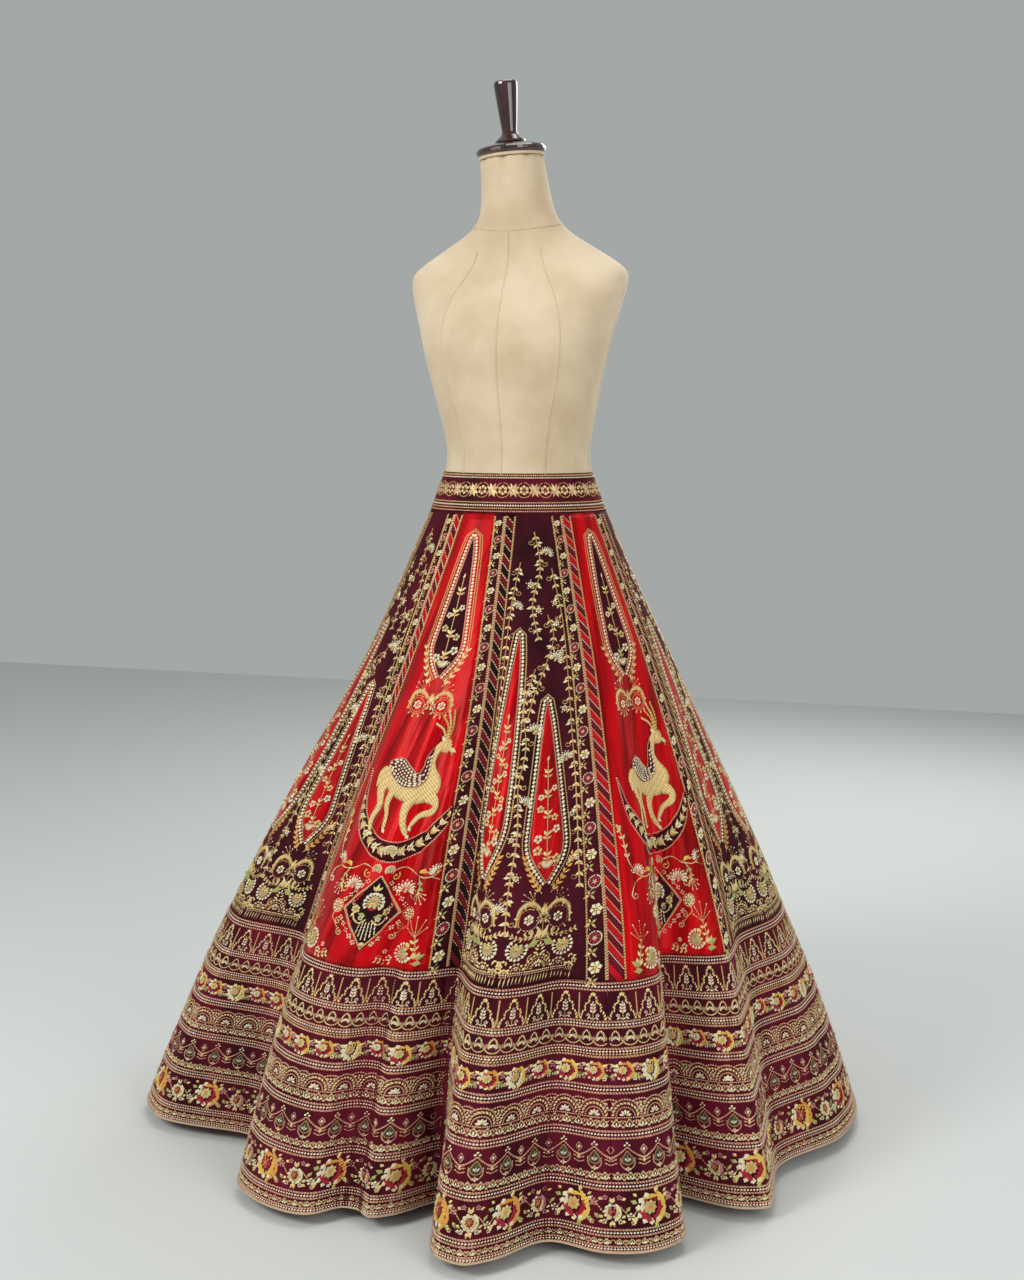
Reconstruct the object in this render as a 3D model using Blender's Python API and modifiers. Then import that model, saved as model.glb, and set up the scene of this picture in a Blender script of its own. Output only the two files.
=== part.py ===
"""A bridal lehenga skirt on a limbless dress form with a plain stand.

Metres, +Z up. The origin is on the floor under the pole, and the form's front faces -Y.
Angles round the skirt are measured from the front, positive towards +X.

The skirt is cut as ten kalis (gores). Each kali is a striped strip, a main panel and a floral
strip sewn side by side, with a border gore below them, and a waistband closes the top.
Every cloth piece is first a flat slab in its kali's own sizes, and is then hung: a place on the
flat cloth (kali, metres across, metres down, metres out) becomes a point of the folded skirt.
"""

import math

import bmesh
import bpy
import numpy as np
from mathutils import Matrix, Vector

# The cut of the skirt
KALI_COUNT = 10
BAND_HEIGHT = 0.062
UPPER_LENGTH = 0.713
BORDER_LENGTH = 0.370
SLANT = UPPER_LENGTH + BORDER_LENGTH
KALI_WIDTHS = ((0.0, 0.0815), (UPPER_LENGTH, 0.311), (SLANT, 0.463))
STRIPE_WIDTHS = ((0.0, 0.015), (UPPER_LENGTH, 0.027))
FLOWER_WIDTHS = ((0.0, 0.016), (UPPER_LENGTH, 0.030))
CLOTH = 0.0018
SEAM_GAP = 0.0003

# How high it hangs
HEM_HEIGHT = 0.020
BAND_BOTTOM = 1.013
BAND_TOP = BAND_BOTTOM + BAND_HEIGHT
BAND_SEAM = 0.0012
WAIST_FIRST_SEAM = -30.5
HEM_FIRST_SEAM = -38.0

# The waistband's inner face: half width and half depth
BAND_LOW = (0.145, 0.114)
BAND_HIGH = (0.122, 0.093)

# Folds of the hem, one row each: the crest's angle and radius, half the angle over which the
# crest stays round, and the angle and radius of the valley after it.
HEM_FOLDS = (
    # crest_deg, crest_radius, round_deg, valley_deg, valley_radius
    (-67.0, 0.610, 6.0, -42.0, 0.452),
    (-22.0, 0.566, 7.5, -10.5, 0.507),
    (-5.5, 0.519, 2.5, 4.0, 0.444),
    (11.6, 0.617, 3.1, 23.0, 0.552),
    (36.0, 0.612, 5.3, 46.5, 0.466),
    (57.5, 0.592, 2.3, 69.0, 0.528),
    (96.0, 0.592, 10.0, 114.0, 0.480),
    (128.0, 0.602, 6.0, 144.0, 0.456),
    (161.0, 0.580, 7.0, 175.0, 0.515),
    (189.0, 0.612, 5.0, 203.0, 0.455),
    (219.0, 0.600, 5.0, 232.0, 0.535),
    (249.0, 0.604, 5.5, 266.0, 0.458),
)
CREST_DROP = 0.013
HEM_RADIUS = 0.545

# The unfolded cone of the skirt, one row a level: the share of the slant above it, its half
# width and half depth, how much of the hem's folds it shows, and how far it has swung
# sideways, as the heavy hem hangs a little to the wearer's right of the form.
CONE = (
    # down, half_width, half_depth, fold_share, swing
    (0.00, 0.145, 0.114, 0.00, 0.000),
    (0.05, 0.166, 0.138, 0.00, 0.000),
    (0.12, 0.196, 0.176, 0.01, 0.000),
    (0.22, 0.241, 0.228, 0.05, 0.000),
    (0.34, 0.296, 0.289, 0.14, 0.003),
    (0.47, 0.357, 0.354, 0.27, 0.008),
    (0.60, 0.413, 0.411, 0.42, 0.013),
    (0.67, 0.440, 0.438, 0.52, 0.016),
    (0.80, 0.485, 0.484, 0.73, 0.018),
    (0.90, 0.517, 0.516, 0.87, 0.019),
    (1.00, 0.545, 0.545, 1.00, 0.019),
)
SWING_DIRECTION = (-0.956, -0.292)

# How finely the slabs are divided
PANEL_COLUMNS = 8
UPPER_ROWS = 9
BORDER_ROWS = 4
BAND_COLUMNS = 60

# The dress form, one row a level: height, half width, half depth, how far the section sits
# back, how much the neck leans there, and how square it is (2 is an ellipse).
FORM_LEVELS = (
    # height, half_width, half_depth, back, lean, squareness
    (0.8100, 0.1600, 0.1120, 0.000, 0.00, 2.0),
    (0.8220, 0.1680, 0.1200, 0.000, 0.00, 2.0),
    (0.8900, 0.1670, 0.1210, 0.000, 0.00, 2.0),
    (0.9600, 0.1550, 0.1170, 0.000, 0.00, 2.0),
    (1.0130, 0.1441, 0.1131, 0.000, 0.00, 2.0),
    (1.0750, 0.1211, 0.0921, 0.000, 0.00, 2.0),
    (1.1080, 0.1180, 0.0900, 0.000, 0.00, 2.0),
    (1.1550, 0.1260, 0.0960, -0.003, 0.00, 2.1),
    (1.2120, 0.1390, 0.1060, -0.010, 0.00, 2.2),
    (1.2620, 0.1500, 0.1110, -0.013, 0.00, 2.3),
    (1.3120, 0.1620, 0.1050, -0.009, 0.00, 2.4),
    (1.3520, 0.1750, 0.0920, -0.001, 0.00, 2.4),
    (1.3780, 0.1820, 0.0790, 0.004, 0.00, 2.3),
    (1.3930, 0.1815, 0.0710, 0.006, 0.00, 2.2),
    (1.4050, 0.1700, 0.0660, 0.007, 0.00, 2.1),
    (1.4190, 0.1480, 0.0625, 0.007, 0.00, 2.1),
    (1.4340, 0.1230, 0.0605, 0.006, 0.00, 2.0),
    (1.4480, 0.0990, 0.0595, 0.004, 0.00, 2.0),
    (1.4610, 0.0800, 0.0590, 0.003, 0.01, 2.0),
    (1.4740, 0.0680, 0.0585, 0.002, 0.02, 2.0),
    (1.4900, 0.0600, 0.0575, 0.001, 0.04, 2.0),
    (1.5150, 0.0560, 0.0555, 0.000, 0.06, 2.0),
    (1.5450, 0.0530, 0.0530, 0.000, 0.08, 2.0),
    (1.5740, 0.0512, 0.0512, 0.000, 0.09, 2.0),
)
FORM_SIDES = 32
NECK_ROOT = 1.455
NECK_LEAN_ANGLE = math.radians(-60.0)

# The turned pieces: radius and height above the piece's own foot, from the top down
NECK_RING = (
    (0.0, 0.0050), (0.0515, 0.0050), (0.0535, 0.0035), (0.0535, 0.0012), (0.0520, 0.0), (0.0, 0.0),
)
NECK_CAP = (
    (0.0, 0.0185), (0.0200, 0.0180), (0.0360, 0.0155), (0.0470, 0.0125), (0.0535, 0.0105),
    (0.0560, 0.0075), (0.0562, 0.0035), (0.0545, 0.0008), (0.0520, 0.0), (0.0, 0.0),
)
HANDLE = (
    (0.0, 0.0950), (0.0165, 0.0945), (0.0185, 0.0925), (0.0189, 0.0890), (0.0185, 0.0820),
    (0.0165, 0.0600), (0.0143, 0.0380), (0.0124, 0.0210), (0.0120, 0.0160), (0.0140, 0.0115),
    (0.0190, 0.0070), (0.0240, 0.0030), (0.0250, 0.0), (0.0, 0.0),
)
STAND_COLLAR = (
    (0.0158, 0.0500), (0.0220, 0.0500), (0.0240, 0.0480), (0.0240, 0.0300), (0.0280, 0.0240),
    (0.0420, 0.0120), (0.0460, 0.0060), (0.0460, 0.0), (0.0158, 0.0),
)
STAND_BASE = (
    (0.0, 0.0150), (0.1500, 0.0145), (0.1960, 0.0125), (0.2050, 0.0100), (0.2070, 0.0060),
    (0.2060, 0.0015), (0.2045, 0.0), (0.0, 0.0),
)
POLE_RADIUS = 0.0155
TURNED_STEPS = 40

FINISHES = {
    # name: colour, roughness, metallic
    "red_satin": ((0.58, 0.006, 0.012, 1.0), 0.35, 0.0),
    "maroon_velvet": ((0.085, 0.004, 0.012, 1.0), 0.85, 0.0),
    "form_canvas": ((0.74, 0.60, 0.42, 1.0), 0.80, 0.0),
    "dark_wood": ((0.045, 0.012, 0.008, 1.0), 0.20, 0.0),
    "stand_metal": ((0.03, 0.03, 0.032, 1.0), 0.40, 0.9),
}


# The shape of the hung cloth


def round_the_axis(degrees, half_width, half_depth):
    """Points on an ellipse about the axis, 0 degrees at the front and 90 at +X."""
    angle = np.radians(degrees)
    return np.stack([half_width * np.sin(angle), -half_depth * np.cos(angle)], axis=-1)


def curve_through(points, steps=24):
    """Closed smooth curve through points in the plane, steps samples to a span."""
    following = np.roll(points, -1, axis=0)
    lengths = np.linalg.norm(following - points, axis=1)[:, None]
    slopes = (following - points) / lengths
    earlier, earlier_slopes = np.roll(lengths, 1, axis=0), np.roll(slopes, 1, axis=0)
    tangents = (earlier_slopes * lengths + slopes * earlier) / (lengths + earlier)
    later_tangents = np.roll(tangents, -1, axis=0)
    samples = []
    for share in np.arange(steps) / steps:
        rise = share * share * (3 - 2 * share)
        samples.append(
            (1 - rise) * points
            + rise * following
            + share * (1 - share) ** 2 * lengths * tangents
            - share * share * (1 - share) * lengths * later_tangents
        )
    return np.stack(samples, axis=1).reshape(-1, 2)


def hem_curve():
    """The folded hem: shares of its length from the first seam, and its points."""
    degrees, radii = [], []
    for crest, radius, roundness, valley, valley_radius in HEM_FOLDS:
        degrees += [crest - roundness, crest, crest + roundness, valley]
        radii += [radius - CREST_DROP, radius, radius - CREST_DROP, valley_radius]
    radii = np.array(radii)
    loop = curve_through(round_the_axis(np.array(degrees), radii, radii))
    along = np.degrees(np.arctan2(loop[:, 0], -loop[:, 1]))
    first = int(np.argmin(np.abs(along - HEM_FIRST_SEAM)))
    loop = np.roll(loop, -first, axis=0)
    loop = np.vstack([loop, loop[:1]])
    run = np.concatenate([[0.0], np.cumsum(np.linalg.norm(np.diff(loop, axis=0), axis=1))])
    return run / run[-1], loop


HEM_SHARES, HEM_POINTS = hem_curve()
CONE_TABLE = np.array(CONE)


def smooth_column(down, column):
    """A column of CONE at a share of the slant, with no kinks at its rows."""
    levels, values = CONE_TABLE[:, 0], CONE_TABLE[:, column]
    slopes = np.gradient(values, levels)
    row = np.clip(np.searchsorted(levels, down, side="right") - 1, 0, len(levels) - 2)
    span = levels[row + 1] - levels[row]
    share = (down - levels[row]) / span
    rise = share * share * (3 - 2 * share)
    return (
        (1 - rise) * values[row]
        + rise * values[row + 1]
        + share * (1 - share) ** 2 * span * slopes[row]
        - share * share * (1 - share) * span * slopes[row + 1]
    )


def skirt_point(round_share, down_share):
    """The cloth's inner face, from the share of the way round and the share of the slant."""
    round_share, down_share = np.broadcast_arrays(round_share, down_share)
    degrees = WAIST_FIRST_SEAM + 360.0 * round_share
    half_width, half_depth, fold, swing = (smooth_column(down_share, i) for i in (1, 2, 3, 4))
    around = round_share % 1.0
    hem = np.stack([np.interp(around, HEM_SHARES, HEM_POINTS[:, i]) for i in (0, 1)], axis=-1)
    flat = round_the_axis(degrees, half_width, half_depth)
    unfolded = round_the_axis(degrees, HEM_RADIUS, HEM_RADIUS)
    plan = flat + fold[..., None] * (hem - unfolded) + swing[..., None] * np.array(SWING_DIRECTION)
    height = BAND_BOTTOM - BAND_SEAM + down_share * (HEM_HEIGHT - BAND_BOTTOM + BAND_SEAM)
    return np.concatenate([plan, height[..., None]], axis=-1)


def width_at(widths, down):
    """A strip's or kali's width, metres down the flat cloth."""
    places, sizes = zip(*widths)
    return np.interp(down, places, sizes)


def hang(kali, across, down, out):
    """Points of the hung skirt from places on the flat cloth of one kali, all in metres."""
    round_share = (kali + across / width_at(KALI_WIDTHS, down)) / KALI_COUNT
    down_share = down / SLANT
    step = 0.002
    above = np.clip(down_share - step, 0.0, 1.0)
    below = np.clip(down_share + step, 0.0, 1.0)
    falling = skirt_point(round_share, below) - skirt_point(round_share, above)
    turning = skirt_point(round_share + step, down_share) - skirt_point(round_share - step, down_share)
    normal = np.cross(falling, turning)
    normal /= np.linalg.norm(normal, axis=-1, keepdims=True)
    return skirt_point(round_share, down_share) + out[..., None] * normal


# Pieces


def finish(name):
    """The material of one finish, made once."""
    if name in bpy.data.materials:
        return bpy.data.materials[name]
    colour, roughness, metallic = FINISHES[name]
    material = bpy.data.materials.new(name)
    material.use_nodes = True
    shader = material.node_tree.nodes["Principled BSDF"]
    shader.inputs["Base Color"].default_value = colour
    shader.inputs["Roughness"].default_value = roughness
    shader.inputs["Metallic"].default_value = metallic
    return material


def add_piece(name, mesh, finish_name, collection):
    """A mesh as a named object with its finish."""
    piece = bpy.data.objects.new(name, mesh)
    mesh.materials.append(finish(finish_name))
    collection.objects.link(piece)
    return piece


def cloth_slab(name, columns, rows, place, finish_name, collection):
    """A grid with a wall's thickness, whose corners go where place(u, v, out) says."""
    slab = bmesh.new()
    bmesh.ops.create_grid(slab, x_segments=columns, y_segments=rows, size=0.5)
    outer = bmesh.ops.extrude_face_region(slab, geom=slab.faces[:])["geom"]
    raised = [part for part in outer if isinstance(part, bmesh.types.BMVert)]
    bmesh.ops.translate(slab, verts=raised, vec=(0.0, 0.0, CLOTH))
    bmesh.ops.recalc_face_normals(slab, faces=slab.faces[:])
    flat = np.array([corner.co for corner in slab.verts])
    hung = place(flat[:, 0] + 0.5, 0.5 - flat[:, 1], flat[:, 2])
    for corner, point in zip(slab.verts, hung):
        corner.co = point
    mesh = bpy.data.meshes.new(name)
    slab.to_mesh(mesh)
    slab.free()
    return add_piece(name, mesh, finish_name, collection)


def kali_piece(kali, left, right, top, bottom):
    """A place function for a piece of one kali between two edges and two levels."""

    def place(u, v, out):
        down = top + SEAM_GAP / 2 + v * (bottom - top - SEAM_GAP)
        start, end = left(down) + SEAM_GAP / 2, right(down) - SEAM_GAP / 2
        return hang(kali, start + u * (end - start), down, out)

    return place


def make_kali(kali, collection):
    """Striped strip, panel, floral strip and border gore of one kali."""
    name = f"kali_{kali + 1:02d}"
    main = "red_satin" if kali % 2 == 0 else "maroon_velvet"

    def whole(down):
        return width_at(KALI_WIDTHS, down)

    def seam(down):
        return 0.0 * down

    def stripes_edge(down):
        return width_at(STRIPE_WIDTHS, down)

    def flowers_edge(down):
        return whole(down) - width_at(FLOWER_WIDTHS, down)

    pieces = (
        # suffix, columns, left edge, right edge, finish
        ("stripes", 1, seam, stripes_edge, "maroon_velvet"),
        ("panel", PANEL_COLUMNS, stripes_edge, flowers_edge, main),
        ("flowers", 1, flowers_edge, whole, "maroon_velvet"),
    )
    for suffix, columns, left, right, finish_name in pieces:
        place = kali_piece(kali, left, right, 0.0, UPPER_LENGTH)
        cloth_slab(f"{name}_{suffix}", columns, UPPER_ROWS, place, finish_name, collection)

    strip_share = STRIPE_WIDTHS[-1][1] / KALI_WIDTHS[1][1]
    flower_share = FLOWER_WIDTHS[-1][1] / KALI_WIDTHS[1][1]
    panel_shares = np.linspace(strip_share, 1.0 - flower_share, PANEL_COLUMNS + 1)
    columns = PANEL_COLUMNS + 2
    shares = np.concatenate([[0.0], panel_shares, [1.0]])
    flat_place = kali_piece(kali, seam, whole, UPPER_LENGTH, SLANT)

    def place(u, v, out):
        return flat_place(np.interp(u, np.arange(columns + 1) / columns, shares), v, out)

    cloth_slab(f"{name}_border", columns, BORDER_ROWS, place, "maroon_velvet", collection)


def make_waistband(collection):
    """The waistband: one strip bent round, its ends meeting at the wearer's left side."""

    def place(u, v, out):
        closure = 100.0
        gap = math.degrees(SEAM_GAP / BAND_HIGH[1])
        degrees = closure + gap / 2 + u * (360.0 - gap)
        half_width = BAND_HIGH[0] + v * (BAND_LOW[0] - BAND_HIGH[0]) + out
        half_depth = BAND_HIGH[1] + v * (BAND_LOW[1] - BAND_HIGH[1]) + out
        plan = round_the_axis(degrees, half_width, half_depth)
        return np.column_stack([plan, BAND_TOP - v * BAND_HEIGHT])

    cloth_slab("waistband", BAND_COLUMNS, 1, place, "maroon_velvet", collection)


def lean_direction():
    """The level direction that the neck leans towards."""
    return np.array([math.sin(NECK_LEAN_ANGLE), -math.cos(NECK_LEAN_ANGLE)])


def form_section(height, half_width, half_depth, back, lean, squareness):
    """Corners of one level of the dress form."""
    angle = np.arange(FORM_SIDES) * 2.0 * math.pi / FORM_SIDES
    power = 2.0 / squareness
    x = half_width * np.sign(np.sin(angle)) * np.abs(np.sin(angle)) ** power
    y = -half_depth * np.sign(np.cos(angle)) * np.abs(np.cos(angle)) ** power
    plan = np.column_stack([x, y])
    sunk = lean * (plan @ lean_direction())
    shift = lean * max(height - NECK_ROOT, 0.0) * lean_direction()
    return np.column_stack([plan + (0.0, back) + shift, height - sunk])


def make_form(collection):
    """The padded torso and neck, lofted through its levels, smooth and closed."""
    form = bmesh.new()
    rims = []
    for level in FORM_LEVELS:
        ring = bmesh.ops.create_circle(form, segments=FORM_SIDES, radius=1.0)["verts"]
        for corner, point in zip(ring, form_section(*level)):
            corner.co = point
        rims.append(sorted({edge for corner in ring for edge in corner.link_edges}, key=lambda e: e.index))
    for lower, upper in zip(rims, rims[1:]):
        bmesh.ops.bridge_loops(form, edges=lower + upper)
    bmesh.ops.holes_fill(form, edges=rims[0] + rims[-1])
    bmesh.ops.recalc_face_normals(form, faces=form.faces[:])
    mesh = bpy.data.meshes.new("form_torso")
    form.to_mesh(mesh)
    form.free()
    mesh.shade_smooth()
    mesh.set_sharp_from_angle(angle=math.radians(50.0))
    return add_piece("form_torso", mesh, "form_canvas", collection)


def turned(name, profile, finish_name, collection, closed=False):
    """A turned piece: its profile, from the top down, swept round the Z axis."""
    outline = bmesh.new()
    corners = [outline.verts.new((radius, 0.0, height)) for radius, height in profile]
    for start, end in zip(corners, corners[1:]):
        outline.edges.new((start, end))
    if closed:
        outline.edges.new((corners[-1], corners[0]))
    mesh = bpy.data.meshes.new(name)
    outline.to_mesh(mesh)
    outline.free()
    piece = add_piece(name, mesh, finish_name, collection)
    screw = piece.modifiers.new("Turned", "SCREW")
    screw.steps = screw.render_steps = TURNED_STEPS
    screw.use_merge_vertices = True
    screw.merge_threshold = 0.00001
    screw.use_smooth_shade = True
    return piece


def make_neck_fittings(collection):
    """The ring, the wooden cap and the turned handle, stacked on the leaning neck."""
    height, lean = FORM_LEVELS[-1][0], FORM_LEVELS[-1][4]
    toward = lean_direction()
    top = bpy.data.objects.new("neck_top", None)
    top.location = (*(lean * (height - NECK_ROOT) * toward), height)
    axis = Vector((-toward[1], toward[0], 0.0))
    top.rotation_euler = Matrix.Rotation(math.atan(lean), 3, axis).to_euler()
    collection.objects.link(top)
    height = SEAM_GAP
    for name, profile, finish_name in (
        ("form_neck_ring", NECK_RING, "form_canvas"),
        ("form_neck_cap", NECK_CAP, "dark_wood"),
        ("form_handle", HANDLE, "dark_wood"),
    ):
        piece = turned(name, profile, finish_name, collection)
        piece.parent = top
        piece.location = (0.0, 0.0, height)
        height += profile[0][1] + SEAM_GAP


def make_stand(collection):
    """The base plate on the floor, the collar on it, and the pole up to the form."""
    turned("stand_base", STAND_BASE, "stand_metal", collection)
    plate_top = STAND_BASE[0][1] + SEAM_GAP
    collar = turned("stand_collar", STAND_COLLAR, "stand_metal", collection, closed=True)
    collar.location = (0.0, 0.0, plate_top)
    pole_top = FORM_LEVELS[0][0] - SEAM_GAP
    rod = bmesh.new()
    bmesh.ops.create_cone(
        rod, cap_ends=True, segments=TURNED_STEPS, radius1=POLE_RADIUS, radius2=POLE_RADIUS,
        depth=pole_top - plate_top,
    )
    mesh = bpy.data.meshes.new("stand_pole")
    rod.to_mesh(mesh)
    rod.free()
    pole = add_piece("stand_pole", mesh, "stand_metal", collection)
    pole.location = (0.0, 0.0, (pole_top + plate_top) / 2)


for leftover in list(bpy.data.objects):
    bpy.data.objects.remove(leftover)
lehenga = bpy.data.collections.new("lehenga_skirt_on_form")
bpy.context.scene.collection.children.link(lehenga)
make_waistband(lehenga)
for number in range(KALI_COUNT):
    make_kali(number, lehenga)
make_form(lehenga)
make_neck_fittings(lehenga)
make_stand(lehenga)
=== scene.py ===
import math

import bmesh
import bpy
import numpy as np
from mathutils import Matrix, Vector
from mathutils.bvhtree import BVHTree


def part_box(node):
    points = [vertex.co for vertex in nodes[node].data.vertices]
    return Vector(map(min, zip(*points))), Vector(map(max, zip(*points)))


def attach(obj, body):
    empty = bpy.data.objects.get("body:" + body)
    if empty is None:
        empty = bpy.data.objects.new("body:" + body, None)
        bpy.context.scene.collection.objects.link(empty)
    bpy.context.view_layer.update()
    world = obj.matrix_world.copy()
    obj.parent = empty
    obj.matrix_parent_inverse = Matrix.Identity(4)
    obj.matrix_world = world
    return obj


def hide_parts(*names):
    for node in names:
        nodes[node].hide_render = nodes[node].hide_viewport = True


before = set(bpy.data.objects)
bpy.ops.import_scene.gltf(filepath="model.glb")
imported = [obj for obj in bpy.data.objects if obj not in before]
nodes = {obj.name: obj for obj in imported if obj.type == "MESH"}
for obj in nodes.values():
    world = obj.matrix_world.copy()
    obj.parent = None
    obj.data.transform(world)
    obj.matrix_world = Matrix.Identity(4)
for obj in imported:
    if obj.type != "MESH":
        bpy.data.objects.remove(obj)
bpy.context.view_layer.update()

scene = bpy.context.scene


# The padded form. Its body is a firm shell covered in cream cotton canvas, cut in panels that are
# seamed down the front, the back and the sides and round the base of the neck. The cover is
# stretched and stapled, so it is smooth, and only the seams stand a little proud.


def new_finish(name, colour, roughness, metallic=0.0):
    """A material, a function that sets its main shader's sockets and one that adds a node. A socket
    takes a number, a colour or another node's output, by its name or by its place."""
    finish = bpy.data.materials.new(name)
    finish.use_nodes = True
    tree = finish.node_tree

    def feed(node, sockets):
        for key, value in sockets.items():
            socket = node.inputs[key.replace("_", " ") if isinstance(key, str) else key]
            if isinstance(value, bpy.types.NodeSocket):
                tree.links.new(value, socket)
            else:
                socket.default_value = value

    def shade(**sockets):
        feed(tree.nodes["Principled BSDF"], sockets)

    def add(kind, settings=(), inputs=(), **sockets):
        node = tree.nodes.new(kind)
        for key, value in dict(settings).items():
            setattr(node, key, value)
        feed(node, {**dict(enumerate(inputs)), **sockets})
        return node

    shade(Base_Color=(*colour, 1.0), Roughness=roughness, Metallic=metallic)
    return finish, shade, add


def graded(add, factor, stops, between="LINEAR"):
    """A colour ramp over a factor, its stops given as (place, colour)."""
    ramp = add("ShaderNodeValToRGB", Fac=factor)
    ramp.color_ramp.interpolation = between
    elements = ramp.color_ramp.elements
    while len(elements) < len(stops):
        elements.new(0.5)
    for element, (place, colour) in zip(elements, stops):
        element.position = place
        element.color = (*colour, 1.0)
    return ramp.outputs["Color"]


def canvas_finish():
    """Cream cotton canvas: a plain weave of about 8 threads to the centimetre, a little soiled."""
    finish, shade, add = new_finish("cream_canvas", (0.72, 0.57, 0.38), 0.85)
    place = add("ShaderNodeTexCoord").outputs["Object"]
    soil = add("ShaderNodeTexNoise", Vector=place, Scale=9.0, Detail=5.0, Roughness=0.6).outputs["Fac"]
    creams = ((0.3, (0.60, 0.45, 0.28)), (0.55, (0.72, 0.57, 0.38)), (0.8, (0.78, 0.65, 0.47)))
    across, up = (
        add(
            "ShaderNodeTexWave", {"bands_direction": way}, Vector=place, Scale=260.0, Distortion=1.5,
        ).outputs["Fac"]
        for way in ("X", "Z")
    )
    weave = add("ShaderNodeMath", {"operation": "ADD"}, (across, up)).outputs["Value"]
    relief = add("ShaderNodeBump", Strength=0.25, Distance=0.0006, Height=weave).outputs["Normal"]
    shade(Base_Color=graded(add, soil, creams), Normal=relief, Sheen_Weight=0.25)
    return finish


def placed(name, mesh, finish):
    """A finished mesh as a piece of the lehenga and its form, riding with the rest."""
    piece = bpy.data.objects.new(name, mesh)
    scene.collection.objects.link(piece)
    mesh.materials.append(finish)
    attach(piece, "root")
    return piece


canvas = canvas_finish()
cover_shape = bmesh.new()
cover_shape.from_mesh(nodes["form_torso"].data)
bmesh.ops.remove_doubles(cover_shape, verts=cover_shape.verts[:], dist=0.00005)
bmesh.ops.join_triangles(
    cover_shape, faces=cover_shape.faces[:], angle_face_threshold=0.7, angle_shape_threshold=0.7,
)
cover_mesh = bpy.data.meshes.new("form_cover")
cover_shape.to_mesh(cover_mesh)
cover_mesh.shade_smooth()
cover = placed("form_cover", cover_mesh, canvas)
rounding = cover.modifiers.new("Rounding", "SUBSURF")
rounding.levels = rounding.render_levels = 1
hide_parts("form_torso")

bpy.context.view_layer.update()
cover_surface = BVHTree.FromObject(cover, bpy.context.evaluated_depsgraph_get())
NECK_ROOT = 1.455
NECK_LEAN = 0.09
LEAN_DIRECTION = Vector((-0.866, -0.5, 0.0))


def on_cover(degrees, height, proud):
    """A point on the canvas at an angle from the front and a height, standing proud of it."""
    lean = float(NECK_LEAN * 0.6 * max(height - NECK_ROOT, 0.0))
    centre = Vector((0.0, 0.0, float(height))) + lean * LEAN_DIRECTION
    angle = math.radians(float(degrees))
    outward = Vector((math.sin(angle), -math.cos(angle), 0.0))
    point, normal, _, _ = cover_surface.ray_cast(centre, outward)
    return point + proud * normal


def welt(name, points, radius, finish, closed=False):
    """A thin sewn ridge, round in section, along a row of points."""
    line = bpy.data.curves.new(name, "CURVE")
    line.dimensions = "3D"
    line.bevel_depth = radius
    line.bevel_resolution = 2
    line.use_fill_caps = not closed
    spline = line.splines.new("POLY")
    spline.points.add(len(points) - 1)
    for point, place in zip(spline.points, points):
        point.co = (*place, 1.0)
    spline.use_cyclic_u = closed
    drawn = bpy.data.objects.new(name, line)
    scene.collection.objects.link(drawn)
    mesh = bpy.data.meshes.new_from_object(drawn.evaluated_get(bpy.context.evaluated_depsgraph_get()))
    bpy.data.objects.remove(drawn)
    shape = bmesh.new()
    shape.from_mesh(mesh)
    bmesh.ops.remove_doubles(shape, verts=shape.verts[:], dist=0.00001)
    bmesh.ops.recalc_face_normals(shape, faces=shape.faces[:])
    shape.to_mesh(mesh)
    shape.free()
    mesh.shade_smooth()
    mesh.materials.clear()
    return placed(name, mesh, finish)


# The cover's seams. Each is a plain seam pressed flat that shows as a fine ridge: one round the
# base of the neck that dips to the front, the front and back centre seams, a shaped seam on each
# side of both, and the side seams.

SEAM_PROUD = 0.0002
SEAM_RADIUS = 0.0009


def neck_seam_height(degrees):
    return 1.470 - 0.014 * math.cos(math.radians(degrees))


neck_seam = [on_cover(a, neck_seam_height(a), SEAM_PROUD) for a in range(0, 360, 5)]
welt("form_neck_seam", neck_seam, SEAM_RADIUS, canvas, closed=True)
BODY_SEAMS = (
    # name, degrees at the waist, degrees at the shoulder, highest point
    ("front_centre", 0.0, 0.0, 1.452),
    ("front_left", 38.0, 46.0, 1.425),
    ("front_right", -38.0, -46.0, 1.425),
    ("side_left", 90.0, 90.0, 1.372),
    ("side_right", -90.0, -90.0, 1.372),
    ("back_left", 144.0, 136.0, 1.425),
    ("back_right", -144.0, -136.0, 1.425),
    ("back_centre", 180.0, 180.0, 1.478),
)
for name, low_angle, high_angle, top in BODY_SEAMS:
    shares = np.linspace(0.0, 1.0, 48)
    route = [
        on_cover(low_angle + s * (high_angle - low_angle), 0.83 + s * (top - 0.83), SEAM_PROUD)
        for s in shares
    ]
    welt(f"form_seam_{name}", route, SEAM_RADIUS, canvas)


# The turned cap and handle on the neck, of dark red-brown lacquered wood, and the stand under the
# form: a round plate, a collar and a pole, all black powder-coated metal. Their solids are true,
# so each keeps its own and takes a better finish.


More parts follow.
